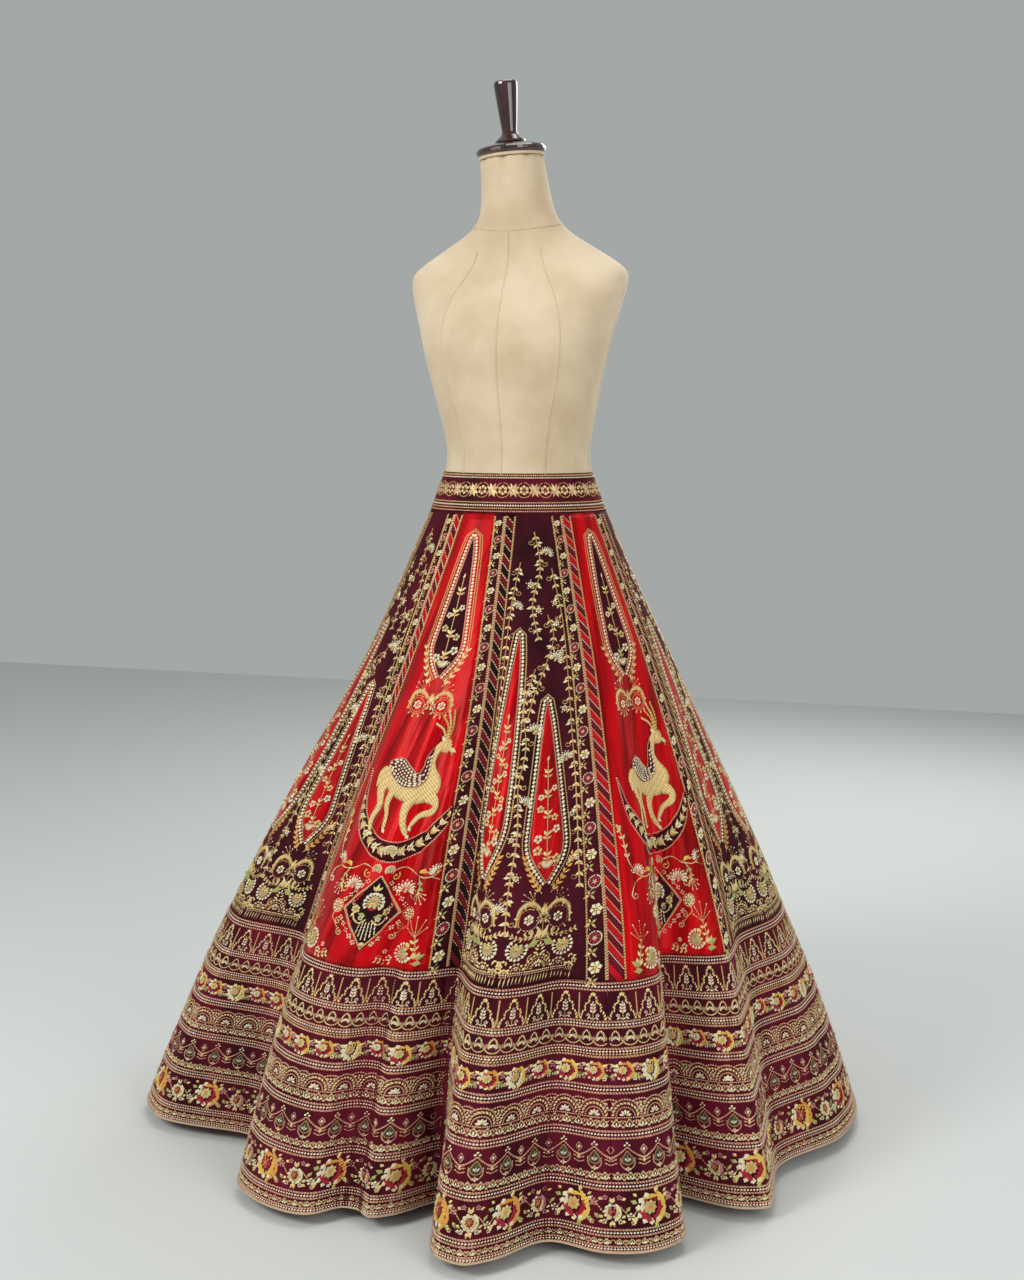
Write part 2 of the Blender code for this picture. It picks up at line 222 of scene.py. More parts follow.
def lacquer_finish():
    """Dark red-brown lacquer over a grain that runs up the turning."""
    finish, shade, add = new_finish("dark_lacquered_wood", (0.035, 0.009, 0.007), 0.16)
    place = add("ShaderNodeTexCoord").outputs["Object"]
    upright = add("ShaderNodeMapping", Vector=place, Scale=(90.0, 90.0, 7.0)).outputs["Vector"]
    grain = add("ShaderNodeTexNoise", Vector=upright, Scale=1.0, Detail=6.0, Distortion=0.6).outputs["Fac"]
    browns = ((0.35, (0.014, 0.004, 0.004)), (0.6, (0.050, 0.012, 0.009)), (0.8, (0.10, 0.025, 0.014)))
    worn = add("ShaderNodeMapRange", Value=grain, To_Min=0.10, To_Max=0.24).outputs["Result"]
    shade(Base_Color=graded(add, grain, browns), Roughness=worn, Coat_Weight=0.8, Coat_Roughness=0.05)
    return finish


def powder_coat_finish():
    """Black powder coat: fine orange peel, a little scuffed."""
    finish, shade, add = new_finish("black_powder_coat", (0.016, 0.016, 0.017), 0.42, 0.2)
    place = add("ShaderNodeTexCoord").outputs["Object"]
    orange_peel = add("ShaderNodeTexNoise", Vector=place, Scale=900.0, Detail=2.0).outputs["Fac"]
    relief = add("ShaderNodeBump", Strength=0.2, Distance=0.0003, Height=orange_peel).outputs["Normal"]
    scuffs = add("ShaderNodeTexNoise", Vector=place, Scale=30.0, Detail=6.0).outputs["Fac"]
    dull = add("ShaderNodeMapRange", Value=scuffs, To_Min=0.34, To_Max=0.55).outputs["Result"]
    shade(Normal=relief, Roughness=dull)
    return finish


def refinished(node_names, finish):
    """CAD nodes that keep their shape and take a new finish."""
    for node_name in node_names:
        node = nodes[node_name]
        for index in range(len(node.material_slots)):
            node.material_slots[index].material = finish


refinished(("form_neck_cap", "form_handle"), lacquer_finish())
refinished(("form_neck_ring",), canvas)
refinished(("stand_pole", "stand_collar", "stand_base"), powder_coat_finish())


# How the skirt hangs. Ten kalis (gores) go round it. A place on the flat cloth of a kali (metres
# across, metres down from the band, metres out) becomes a point of the folded skirt, so cloth and
# embroidery are both cut and drawn flat and then hung the same way, on the form of the solids.

KALI_COUNT = 10
UPPER_LENGTH = 0.713
BORDER_LENGTH = 0.370
SLANT = UPPER_LENGTH + BORDER_LENGTH
KALI_WIDTHS = ((0.0, 0.0815), (UPPER_LENGTH, 0.311), (SLANT, 0.463))
STRIPE_WIDTHS = ((0.0, 0.015), (UPPER_LENGTH, 0.027))
FLOWER_WIDTHS = ((0.0, 0.016), (UPPER_LENGTH, 0.030))
SEAM_GAP = 0.0003
HEM_HEIGHT = 0.020
BAND_SEAM = 0.0012
BAND_LOW = (0.145, 0.114)
BAND_HIGH = (0.122, 0.093)
band_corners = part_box("waistband")
BAND_BOTTOM = band_corners[0].z
BAND_TOP = band_corners[1].z
WAIST_FIRST_SEAM = -30.5
HEM_FIRST_SEAM = -38.0
HEM_FOLDS = (
    # crest_deg, crest_radius, round_deg, valley_deg, valley_radius
    (-67.0, 0.610, 6.0, -42.0, 0.452),
    (-22.0, 0.566, 7.5, -10.5, 0.507),
    (-5.5, 0.519, 2.5, 4.0, 0.444),
    (11.6, 0.617, 3.1, 23.0, 0.552),
    (36.0, 0.612, 5.3, 46.5, 0.466),
    (57.5, 0.592, 2.3, 69.0, 0.528),
    (96.0, 0.592, 10.0, 114.0, 0.480),
    (128.0, 0.602, 6.0, 144.0, 0.456),
    (161.0, 0.580, 7.0, 175.0, 0.515),
    (189.0, 0.612, 5.0, 203.0, 0.455),
    (219.0, 0.600, 5.0, 232.0, 0.535),
    (249.0, 0.604, 5.5, 266.0, 0.458),
)
CREST_DROP = 0.013
HEM_RADIUS = 0.545
CONE = (
    # down, half_width, half_depth, fold_share, swing
    (0.00, 0.145, 0.114, 0.00, 0.000),
    (0.05, 0.166, 0.138, 0.00, 0.000),
    (0.12, 0.196, 0.176, 0.01, 0.000),
    (0.22, 0.241, 0.228, 0.05, 0.000),
    (0.34, 0.296, 0.289, 0.14, 0.003),
    (0.47, 0.357, 0.354, 0.27, 0.008),
    (0.60, 0.413, 0.411, 0.42, 0.013),
    (0.67, 0.440, 0.438, 0.52, 0.016),
    (0.80, 0.485, 0.484, 0.73, 0.018),
    (0.90, 0.517, 0.516, 0.87, 0.019),
    (1.00, 0.545, 0.545, 1.00, 0.019),
)
SWING_DIRECTION = (-0.956, -0.292)


def round_the_axis(degrees, half_width, half_depth):
    angle = np.radians(degrees)
    return np.stack([half_width * np.sin(angle), -half_depth * np.cos(angle)], axis=-1)


def curve_through(points, steps=24):
    """Closed smooth curve through points in the plane."""
    following = np.roll(points, -1, axis=0)
    lengths = np.linalg.norm(following - points, axis=1)[:, None]
    slopes = (following - points) / lengths
    earlier, earlier_slopes = np.roll(lengths, 1, axis=0), np.roll(slopes, 1, axis=0)
    tangents = (earlier_slopes * lengths + slopes * earlier) / (lengths + earlier)
    later_tangents = np.roll(tangents, -1, axis=0)
    samples = []
    for share in np.arange(steps) / steps:
        rise = share * share * (3 - 2 * share)
        samples.append(
            (1 - rise) * points
            + rise * following
            + share * (1 - share) ** 2 * lengths * tangents
            - share * share * (1 - share) * lengths * later_tangents
        )
    return np.stack(samples, axis=1).reshape(-1, 2)


def hem_curve():
    """The folded hem: shares of its length from the first seam, and its points."""
    degrees, radii = [], []
    for crest, radius, roundness, valley, valley_radius in HEM_FOLDS:
        degrees += [crest - roundness, crest, crest + roundness, valley]
        radii += [radius - CREST_DROP, radius, radius - CREST_DROP, valley_radius]
    radii = np.array(radii)
    loop = curve_through(round_the_axis(np.array(degrees), radii, radii))
    along = np.degrees(np.arctan2(loop[:, 0], -loop[:, 1]))
    first = int(np.argmin(np.abs(along - HEM_FIRST_SEAM)))
    loop = np.roll(loop, -first, axis=0)
    loop = np.vstack([loop, loop[:1]])
    run = np.concatenate([[0.0], np.cumsum(np.linalg.norm(np.diff(loop, axis=0), axis=1))])
    return run / run[-1], loop


HEM_SHARES, HEM_POINTS = hem_curve()
CONE_TABLE = np.array(CONE)


def smooth_column(down, column):
    levels, values = CONE_TABLE[:, 0], CONE_TABLE[:, column]
    slopes = np.gradient(values, levels)
    row = np.clip(np.searchsorted(levels, down, side="right") - 1, 0, len(levels) - 2)
    span = levels[row + 1] - levels[row]
    share = (down - levels[row]) / span
    rise = share * share * (3 - 2 * share)
    return (
        (1 - rise) * values[row]
        + rise * values[row + 1]
        + share * (1 - share) ** 2 * span * slopes[row]
        - share * share * (1 - share) * span * slopes[row + 1]
    )


def smooth_hem(around):
    """The hem's points, without the corners of its polygon."""
    return np.stack([np.interp(around, HEM_SHARES, HEM_POINTS[:, i]) for i in (0, 1)], axis=-1)


def skirt_point(round_share, down_share):
    """The cloth's inner face, from the share of the way round and the share of the slant."""
    degrees = WAIST_FIRST_SEAM + 360.0 * round_share
    half_width, half_depth, fold, swing = (smooth_column(down_share, i) for i in (1, 2, 3, 4))
    hem = smooth_hem(round_share % 1.0)
    flat = round_the_axis(degrees, half_width, half_depth)
    unfolded = round_the_axis(degrees, HEM_RADIUS, HEM_RADIUS)
    plan = flat + fold[..., None] * (hem - unfolded) + swing[..., None] * np.array(SWING_DIRECTION)
    height = BAND_BOTTOM - BAND_SEAM + down_share * (HEM_HEIGHT - BAND_BOTTOM + BAND_SEAM)
    return np.concatenate([plan, height[..., None]], axis=-1)


def width_at(widths, down):
    places, sizes = zip(*widths)
    return np.interp(down, places, sizes)


# Creases of the hung cloth, one row each, as soft ridges (depth above 0) and troughs (below 0): the
# share across the kali at the top and at the bottom of the crease, where it starts and ends down
# the cloth, half its width and its depth. The far side's kalis repeat them, turned about.
CREASES = {
    # kali: (share_top, share_bottom, from_down, to_down, half_width, depth)
    0: (
        (0.50, 0.36, 0.26, 0.62, 0.011, -0.0042),
        (0.62, 0.52, 0.30, 0.60, 0.012, 0.0036),
        (0.86, 0.83, 0.18, 0.66, 0.007, 0.0034),
        (0.78, 0.72, 0.34, 0.70, 0.008, -0.0030),
        (0.18, 0.24, 0.40, 0.70, 0.010, -0.0032),
        (0.44, 0.47, 0.52, 0.72, 0.007, 0.0026),
        (0.60, 0.66, 0.56, 0.72, 0.008, -0.0028),
    ),
    1: (
        (0.12, 0.14, 0.22, 0.70, 0.010, -0.0040),
        (0.53, 0.52, 0.30, 0.71, 0.014, -0.0030),
        (0.88, 0.86, 0.35, 0.71, 0.010, 0.0032),
        (0.33, 0.30, 0.48, 0.70, 0.012, 0.0024),
    ),
    2: (
        (0.22, 0.20, 0.34, 0.71, 0.010, -0.0038),
        (0.34, 0.33, 0.44, 0.71, 0.009, 0.0034),
        (0.55, 0.60, 0.40, 0.70, 0.011, -0.0034),
        (0.75, 0.78, 0.30, 0.71, 0.009, 0.0036),
        (0.86, 0.88, 0.45, 0.70, 0.007, -0.0026),
    ),
    3: (
        (0.20, 0.16, 0.28, 0.71, 0.012, 0.0034),
        (0.48, 0.50, 0.30, 0.71, 0.014, -0.0032),
        (0.80, 0.84, 0.36, 0.70, 0.011, -0.0030),
    ),
    9: (
        (0.16, 0.20, 0.20, 0.70, 0.011, 0.0034),
        (0.42, 0.40, 0.26, 0.71, 0.013, -0.0034),
        (0.70, 0.74, 0.34, 0.71, 0.010, 0.0030),
        (0.90, 0.90, 0.40, 0.71, 0.009, -0.0032),
    ),
    8: (
        (0.24, 0.30, 0.24, 0.68, 0.010, -0.0036),
        (0.50, 0.46, 0.30, 0.70, 0.012, 0.0034),
        (0.72, 0.76, 0.36, 0.71, 0.009, -0.0030),
        (0.88, 0.90, 0.20, 0.60, 0.008, 0.0030),
    ),
}
TURNED_ABOUT = {4: 8, 5: 9, 6: 0, 7: 1}
BORDER_CREASES = (
    # share_top, share_bottom, from_down, to_down, half_width, depth
    (0.10, 0.12, 0.72, 1.02, 0.016, 0.0032),
    (0.27, 0.24, 0.76, 1.083, 0.020, -0.0036),
    (0.46, 0.50, 0.72, 0.98, 0.015, 0.0028),
    (0.63, 0.60, 0.80, 1.083, 0.022, -0.0034),
    (0.82, 0.85, 0.73, 1.04, 0.016, 0.0030),
)


def kali_creases(kali):
    """All the crease rows of a kali, upper cloth and border."""
    if kali in CREASES:
        upper = CREASES[kali]
    else:
        upper = [(1 - top, 1 - bottom, *rest) for top, bottom, *rest in CREASES[TURNED_ABOUT[kali]]]
    slip = 0.035 * math.sin(2.3 * kali)
    border = [(top + slip, bottom - slip, *rest) for top, bottom, *rest in BORDER_CREASES]
    return list(upper) + border


CREASE_ROWS = [kali_creases(kali) for kali in range(KALI_COUNT)]


def crease_depth(round_share, down_share):
    """How far the creases lift or sink the cloth."""
    kali = np.floor(round_share * KALI_COUNT).astype(int) % KALI_COUNT
    share = (round_share * KALI_COUNT) % 1.0
    down = down_share * SLANT
    width = width_at(KALI_WIDTHS, down)
    lift = np.zeros_like(down)
    for number in range(KALI_COUNT):
        here = kali == number
        if not here.any():
            continue
        for top, bottom, start, end, half_width, depth in CREASE_ROWS[number]:
            run = np.clip((down[here] - start) / (end - start), 0.0, 1.0)
            centre = top + run * (bottom - top)
            away = (share[here] - centre) * width[here] / half_width
            lift[here] += depth * np.exp(-away * away) * np.sin(math.pi * run) ** 0.7
    return lift


def faced(round_share, down_share, surface):
    """Unit normals of a surface of the skirt, pointing out."""
    step = 0.0015
    above, below = np.clip(down_share - step, 0.0, 1.0), np.clip(down_share + step, 0.0, 1.0)
    falling = surface(round_share, below) - surface(round_share, above)
    turning = surface(round_share + step, down_share) - surface(round_share - step, down_share)
    normal = np.cross(falling, turning)
    return normal / np.linalg.norm(normal, axis=-1, keepdims=True)


def creased_point(round_share, down_share):
    lift = crease_depth(round_share, down_share)[..., None]
    return skirt_point(round_share, down_share) + lift * faced(round_share, down_share, skirt_point)


def hang(kali, across, down, out):
    """Points of the hung skirt from places on the flat cloth of one kali, all in metres."""
    round_share = (kali + across / width_at(KALI_WIDTHS, down)) / KALI_COUNT
    down_share = np.clip(down / SLANT, 0.0, 1.0)
    normal = faced(round_share, down_share, creased_point)
    return creased_point(round_share, down_share) + out[..., None] * normal


# The waistband: a strip of dark maroon velvet, faced in red, bent once round the waist. Its ends
# meet at the wearer's left side, where its closure would be.

CLOTH = 0.0015


def walled(name, shape, finish, thickness):
    """A shape of cloth as a piece, with a wall of its own that grows inwards."""
    mesh = bpy.data.meshes.new(name)
    shape.to_mesh(mesh)
    shape.free()
    mesh.shade_smooth()
    piece = placed(name, mesh, finish)
    wall = piece.modifiers.new("Wall", "SOLIDIFY")
    wall.thickness = thickness
    wall.offset = -1.0
    return piece, wall


def cut_cloth(name, columns, rows, place, flat_place, finishes):
    """A sheet of cloth with its lining: a grid whose corners go where place(u, v, out) says.
    The UV map holds each corner's place on the flat cloth, in metres."""
    shape = bmesh.new()
    bmesh.ops.create_grid(shape, x_segments=columns, y_segments=rows, size=0.5)
    flat = np.array([corner.co for corner in shape.verts])
    u, v = flat[:, 0] + 0.5, 0.5 - flat[:, 1]
    cut_places = np.column_stack(flat_place(u, v))
    cut_map = shape.loops.layers.uv.new("cut")
    for face in shape.faces:
        for loop in face.loops:
            loop[cut_map].uv = cut_places[loop.vert.index]
    for corner, point in zip(shape.verts, place(u, v, np.full_like(u, CLOTH))):
        corner.co = point
    piece, wall = walled(name, shape, finishes[0], CLOTH)
    piece.data.materials.append(finishes[1])
    wall.material_offset = 1
    wall.use_even_offset = True
    return piece


def velvet_finish(name, deep, painted_sheen, sheen):
    """Velvet: near black, with large random patches painted rosy maroon as painted sheen where crushed pile
    would catch the light; the shader's own sheen lies over it.
    """
    finish, shade, add = new_finish(name, deep, 0.75)
    place = add("ShaderNodeTexCoord").outputs["Object"]
    brushed = add("ShaderNodeMapping", Vector=place, Scale=(14.0, 14.0, 4.0)).outputs["Vector"]
    # Painted sheen: in these patches the colour goes from the deep maroon to the rosy one.
    patches = add(
        "ShaderNodeTexNoise", Vector=brushed, Scale=1.0, Detail=4.0, Roughness=0.55,
    ).outputs["Fac"]
    pile = add("ShaderNodeTexNoise", Vector=place, Scale=1400.0, Detail=2.0).outputs["Fac"]
    relief = add("ShaderNodeBump", Strength=0.35, Distance=0.0005, Height=pile).outputs["Normal"]
    shade(
        Base_Color=graded(add, patches, ((0.35, deep), (0.68, painted_sheen))), Normal=relief, Sheen_Weight=sheen,
        Sheen_Roughness=0.30, Sheen_Tint=(0.85, 0.10, 0.17, 1.0), Specular_IOR_Level=0.12,
    )
    return finish


def satin_finish(name, base, deep, roughness):
    """Satin: long floats down the cloth give a gloss that breaks up along soft upright ripples, and painted
    shade darkens the colour to the deep red in the ripples' troughs.
    """
    finish, shade, add = new_finish(name, base, roughness)
    flat = add("ShaderNodeUVMap", {"uv_map": "cut"}).outputs["UV"]
    upright = add("ShaderNodeMapping", Vector=flat, Scale=(48.0, 4.5, 1.0)).outputs["Vector"]
    ripples = add(
        "ShaderNodeTexNoise", Vector=upright, Scale=1.0, Detail=3.0, Distortion=0.4,
    ).outputs["Fac"]
    puckers = add("ShaderNodeBump", Strength=0.8, Distance=0.005, Height=ripples).outputs["Normal"]
    floats = add("ShaderNodeMapping", Vector=flat, Scale=(2600.0, 160.0, 1.0)).outputs["Vector"]
    threads = add("ShaderNodeTexNoise", Vector=floats, Scale=1.0, Detail=2.0).outputs["Fac"]
    relief = add(
        "ShaderNodeBump", Strength=0.12, Distance=0.0003, Height=threads, Normal=puckers,
    ).outputs["Normal"]
    shade(
        # Painted shade: the colour sinks to the deep red where the ripples' relief sinks.
        Base_Color=graded(add, ripples, ((0.30, deep), (0.60, base))), Normal=relief,
        Specular_IOR_Level=0.60, Specular_Tint=(1.0, 0.10, 0.09, 1.0),
    )
    return finish


# Each velvet's second colour is its painted sheen.
maroon_velvet = velvet_finish("maroon_velvet", (0.034, 0.001, 0.005), (0.135, 0.005, 0.020), 0.34)
dark_velvet = velvet_finish("maroon_velvet_panels", (0.016, 0.0008, 0.003), (0.080, 0.003, 0.012), 0.20)
# The satin's second red is painted shade for its ripple troughs.
red_satin = satin_finish("red_satin", (0.55, 0.002, 0.006), (0.13, 0.0006, 0.0015), 0.32)
lining, shade, add = new_finish("red_lining", (0.45, 0.006, 0.012), 0.6)
lining_weave = add(
    "ShaderNodeTexNoise", Vector=add("ShaderNodeTexCoord").outputs["Object"], Scale=220.0, Detail=3.0,
)
lining_reds = ((0.3, (0.34, 0.004, 0.009)), (0.7, (0.50, 0.008, 0.016)))
shade(Base_Color=graded(add, lining_weave.outputs["Fac"], lining_reds))

BAND_HEIGHT = BAND_TOP - BAND_BOTTOM
BAND_CLOSURE = 100.0
BAND_LENGTH = 0.817
BAND_GAP = math.degrees(SEAM_GAP / BAND_HIGH[1])


def place_on_band(u, v, out):
    degrees = BAND_CLOSURE + BAND_GAP / 2 + u * (360.0 - BAND_GAP)
    half_width = BAND_HIGH[0] + v * (BAND_LOW[0] - BAND_HIGH[0]) + out
    half_depth = BAND_HIGH[1] + v * (BAND_LOW[1] - BAND_HIGH[1]) + out
    plan = round_the_axis(degrees, half_width, half_depth)
    return np.column_stack([plan, BAND_TOP - v * BAND_HEIGHT])


def hang_on_band(across, down, out):
    return place_on_band(across / BAND_LENGTH, down / BAND_HEIGHT, out)


waistband = cut_cloth(
    "waistband_velvet", 96, 6, place_on_band, lambda u, v: (u * BAND_LENGTH, v * BAND_HEIGHT),
    (maroon_velvet, lining),
)
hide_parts("waistband")


# Hand embroidery, zardozi and thread work. Every stitch, bead, petal and leaf is one small pyramid
# whose open foot lies inside the cloth. Designs are drawn flat as rows of stitches and then hung
# with the cloth: metres across, metres down, turn, length, width, height, where it is fullest, its
# colour, and how far it is raised. Thread is drawn by its bare width; couched down it spreads by
# THREAD. A turn of 0 is across to the right, and it grows clockwise.

GOLD = (0.72, 0.46, 0.18)
ROSE_GOLD = (0.72, 0.39, 0.24)
STRAW = (0.80, 0.62, 0.27)
OLD_GOLD = (0.50, 0.32, 0.12)
SILVER = (0.92, 0.79, 0.60)
CREAM = (0.88, 0.79, 0.52)
YELLOW = (0.86, 0.55, 0.10)
ORANGE = (0.80, 0.36, 0.07)
GREEN = (0.42, 0.42, 0.13)
DROP_GREEN = (0.050, 0.066, 0.036)
PINK = (0.60, 0.24, 0.24)
RED = (0.42, 0.012, 0.03)
WINE = (0.10, 0.005, 0.016)
THREAD = 1.35
DOWN = math.pi / 2
UP = -DOWN


def stitches(x, y, turn, length, width, height, colour, fullest=0.5):
    """Rows of stitches, one for each place given."""
    columns = (np.atleast_1d(x), y, turn, length, width, height, fullest, *colour, 0.0)
    return np.column_stack(np.broadcast_arrays(*[np.asarray(c, float) for c in columns]))


def raised(rows, lift):
    """Stitches that lie on a patch instead of on the panel."""
    rows = rows.copy()
    rows[:, 10] += lift
    return rows


def sewn(*parts):
    return np.vstack([part for part in parts if len(part)])


def moved(rows, x=0.0, y=0.0, turn=0.0, scale=1.0, flip=False):
    """A motif carried to a new place, turned, scaled or flipped left to right."""
    rows = rows.copy()
    if flip:
        rows[:, 0] *= -1
        rows[:, 2] = math.pi - rows[:, 2]
    cosine, sine = math.cos(turn), math.sin(turn)
    across, down = rows[:, 0].copy(), rows[:, 1].copy()
    rows[:, 0] = x + scale * (across * cosine - down * sine)
    rows[:, 1] = y + scale * (across * sine + down * cosine)
    rows[:, 2] += turn
    rows[:, 3:6] *= scale
    return rows


def both_ways(rows):
    """A motif and its mirror image about its own upright middle."""
    return sewn(rows, moved(rows, flip=True))


def smooth(points, spacing=0.0008):
    """A smooth open line through a few points, as many close points."""
    points = np.asarray(points, float)
    ends = np.vstack([2 * points[0] - points[1], points, 2 * points[-1] - points[-2]])
    pieces = []
    for before, start, end, after in zip(ends, ends[1:], ends[2:], ends[3:]):
        count = max(int(np.linalg.norm(end - start) / spacing), 2)
        s = np.linspace(0.0, 1.0, count, endpoint=False)[:, None]
        pieces.append(
            start
            + 0.5 * s * (end - before)
            + s * s * (before - 2.5 * start + 2 * end - 0.5 * after)
            + s * s * s * (1.5 * (start - end) + 0.5 * (after - before))
        )
    return np.vstack(pieces + [points[-1:]])


def stretched(points, width, height):
    """A smooth line through points given as shares of a width and a height."""
    return smooth(np.multiply(points, (width, height)))


def straight(*corners):
    """A line with corners, as close points."""
    corners = np.asarray(corners, float)
    pieces = []
    for start, end in zip(corners, corners[1:]):
        count = max(int(np.linalg.norm(end - start) / 0.001), 2)
        pieces.append(start + np.linspace(0.0, 1.0, count, endpoint=False)[:, None] * (end - start))
    return np.vstack(pieces + [corners[-1:]])


def arc(x, y, radius, start, end, squash=1.0):
    """Part of a circle or ellipse, in degrees from straight up, clockwise."""
    angle = np.radians(np.linspace(start, end, max(int(abs(end - start) / 5), 6)))
    return np.column_stack([x + radius * np.sin(angle), y - squash * radius * np.cos(angle)])


def sampled(line, places, at):
    """Points along a line, from the place of each of its corners."""
    return np.column_stack([np.interp(at, places, line[:, i]) for i in (0, 1)])


def along(path, pitch, first=0.5):
    """Places at an even pitch along a path: across, down and the way the path runs there."""
    steps = np.linalg.norm(np.diff(path, axis=0), axis=1)
    run = np.concatenate([[0.0], np.cumsum(steps)])
    count = max(int(round(run[-1] / pitch)), 1)
    at = (np.arange(count) + first) * run[-1] / count
    reach = 0.3 * run[-1] / count
    way = sampled(path, run, at + reach) - sampled(path, run, at - reach)
    return *sampled(path, run, at).T, np.arctan2(way[:, 1], way[:, 0])


def beside(path, distance):
    """A line at an even distance to the right of a path, facing along it."""
    heading = np.gradient(path, axis=0)
    heading /= np.linalg.norm(heading, axis=1)[:, None] + 1e-12
    return path + distance * np.column_stack([-heading[:, 1], heading[:, 0]])


def beads(path, size, colour, pitch=None, height=None):
    """Round beads side by side along a path."""
    x, y, turn = along(path, pitch or size * 1.08)
    return stitches(x, y, turn, size * 1.22, size * 1.12, height or size * 0.55, colour)


def cord(path, width, colour, twist=0.55):
    """A couched twisted cord: slanting strands that overlap along a path."""
    width = width * THREAD
    x, y, turn = along(path, width * 1.2)
    return stitches(x, y, turn + twist, width * 1.9, width * 0.95, width * 0.55, colour)


def running(path, width, colour, length=0.0052):
    """A fine line of long flat stitches, end over end."""
    x, y, turn = along(path, length)
    return stitches(x, y, turn, length * 1.35, width * THREAD, width * 0.6, colour)


def petals(x, y, count, inner, outer, width, colour, start=0.0, sweep=360.0, fullest=0.62):
    """Petals or rays round a centre, from an inner to an outer radius; start is in degrees from
    straight up, clockwise."""
    spaces = count if sweep >= 360.0 else max(count - 1, 1)
    angle = np.radians(start + np.arange(count) * sweep / spaces)
    middle = (inner + outer) / 2
    return stitches(
        x + middle * np.sin(angle), y - middle * np.cos(angle), angle - DOWN,
        outer - inner, width * 1.15, min(width * 0.45, 0.0022), colour, fullest,
    )


def leaf(x, y, turn, length, width, colour):
    """One leaf from its foot at (x, y), pointing along turn (radians; 0 is across to the right)."""
    return stitches(
        x + 0.5 * length * math.cos(turn), y + 0.5 * length * math.sin(turn), turn,
        length * 1.12, width * THREAD, width * 0.42, colour, 0.45,
    )


def leaf_pairs(path, count, length, width, colour, spread=0.75, first=0.6):
    """A stem's leaves in pairs, leaning forward from it."""
    steps = along(path, np.linalg.norm(np.diff(path, axis=0), axis=1).sum() / count, first)
    return sewn(*[
        leaf(x, y, turn + lean, length, width, colour)
        for x, y, turn in zip(*steps) for lean in (spread, -spread)
    ])


def spiral(x, y, radius, start, turns, hand=1):
    """A curl that winds in towards (x, y)."""
    share = np.linspace(0.0, 1.0, max(int(30 * turns), 12))
    angle = math.radians(start) + hand * share * turns * 2 * math.pi
    reach = radius * (1 - 0.8 * share)
    return np.column_stack([x + reach * np.sin(angle), y - reach * np.cos(angle)])


def curl(x, y, radius, start, turns, hand, width, colour):
    """A curled tendril that ends in a bead."""
    line = spiral(x, y, radius, start, turns, hand)
    end = line[-1]
    return sewn(cord(line, width, colour), stitches(end[0], end[1], 0, width * 2, width * 2, width, colour))


# The stone that stands for a stitch is a low pyramid, lengthened along the thread. Its open foot
# lies a little below the cloth's face.

stone_shape = bmesh.new()
bmesh.ops.create_cone(
    stone_shape, cap_ends=False, segments=4, radius1=1.0, radius2=0.0, depth=1.0,
)
bmesh.ops.triangulate(stone_shape, faces=stone_shape.faces[:])
bmesh.ops.recalc_face_normals(stone_shape, faces=stone_shape.faces[:])
stone_shape.verts.index_update()
STONE = np.array([corner.co for corner in stone_shape.verts])
STONE_FACES = np.array([[corner.index for corner in reversed(face.verts)] for face in stone_shape.faces])
stone_shape.free()
SUNK = 0.25


def thread_finish(name, metallic, roughness, sparkle, gloss=0.5):
    """Metal or silk thread: the colour drawn for each stitch, mottled by wear, finely twisted."""
    finish, shade, add = new_finish(name, GOLD, roughness, metallic)
    drawn = add("ShaderNodeAttribute", {"attribute_name": "thread"}).outputs["Color"]
    place = add("ShaderNodeTexCoord").outputs["Object"]
    wear = add("ShaderNodeTexNoise", Vector=place, Scale=420.0, Detail=3.0).outputs["Fac"]
    worn = add("ShaderNodeMapRange", Value=wear, To_Min=0.62, To_Max=1.25).outputs["Result"]
    mottled = add("ShaderNodeVectorMath", {"operation": "SCALE"}, (drawn,), Scale=worn).outputs["Vector"]
    twist = add(
        "ShaderNodeTexWave", {"bands_direction": "DIAGONAL"}, Vector=place, Scale=900.0, Distortion=2.0,
    )
    relief = add(
        "ShaderNodeBump", Strength=sparkle, Distance=0.0004, Height=twist.outputs["Fac"],
    ).outputs["Normal"]
    shade(Base_Color=mottled, Normal=relief, Specular_IOR_Level=gloss)
    return finish


zari = thread_finish("zari_and_beads", 0.50, 0.34, 0.25)
silk = thread_finish("silk_thread", 0.05, 0.42, 0.35, 0.28)


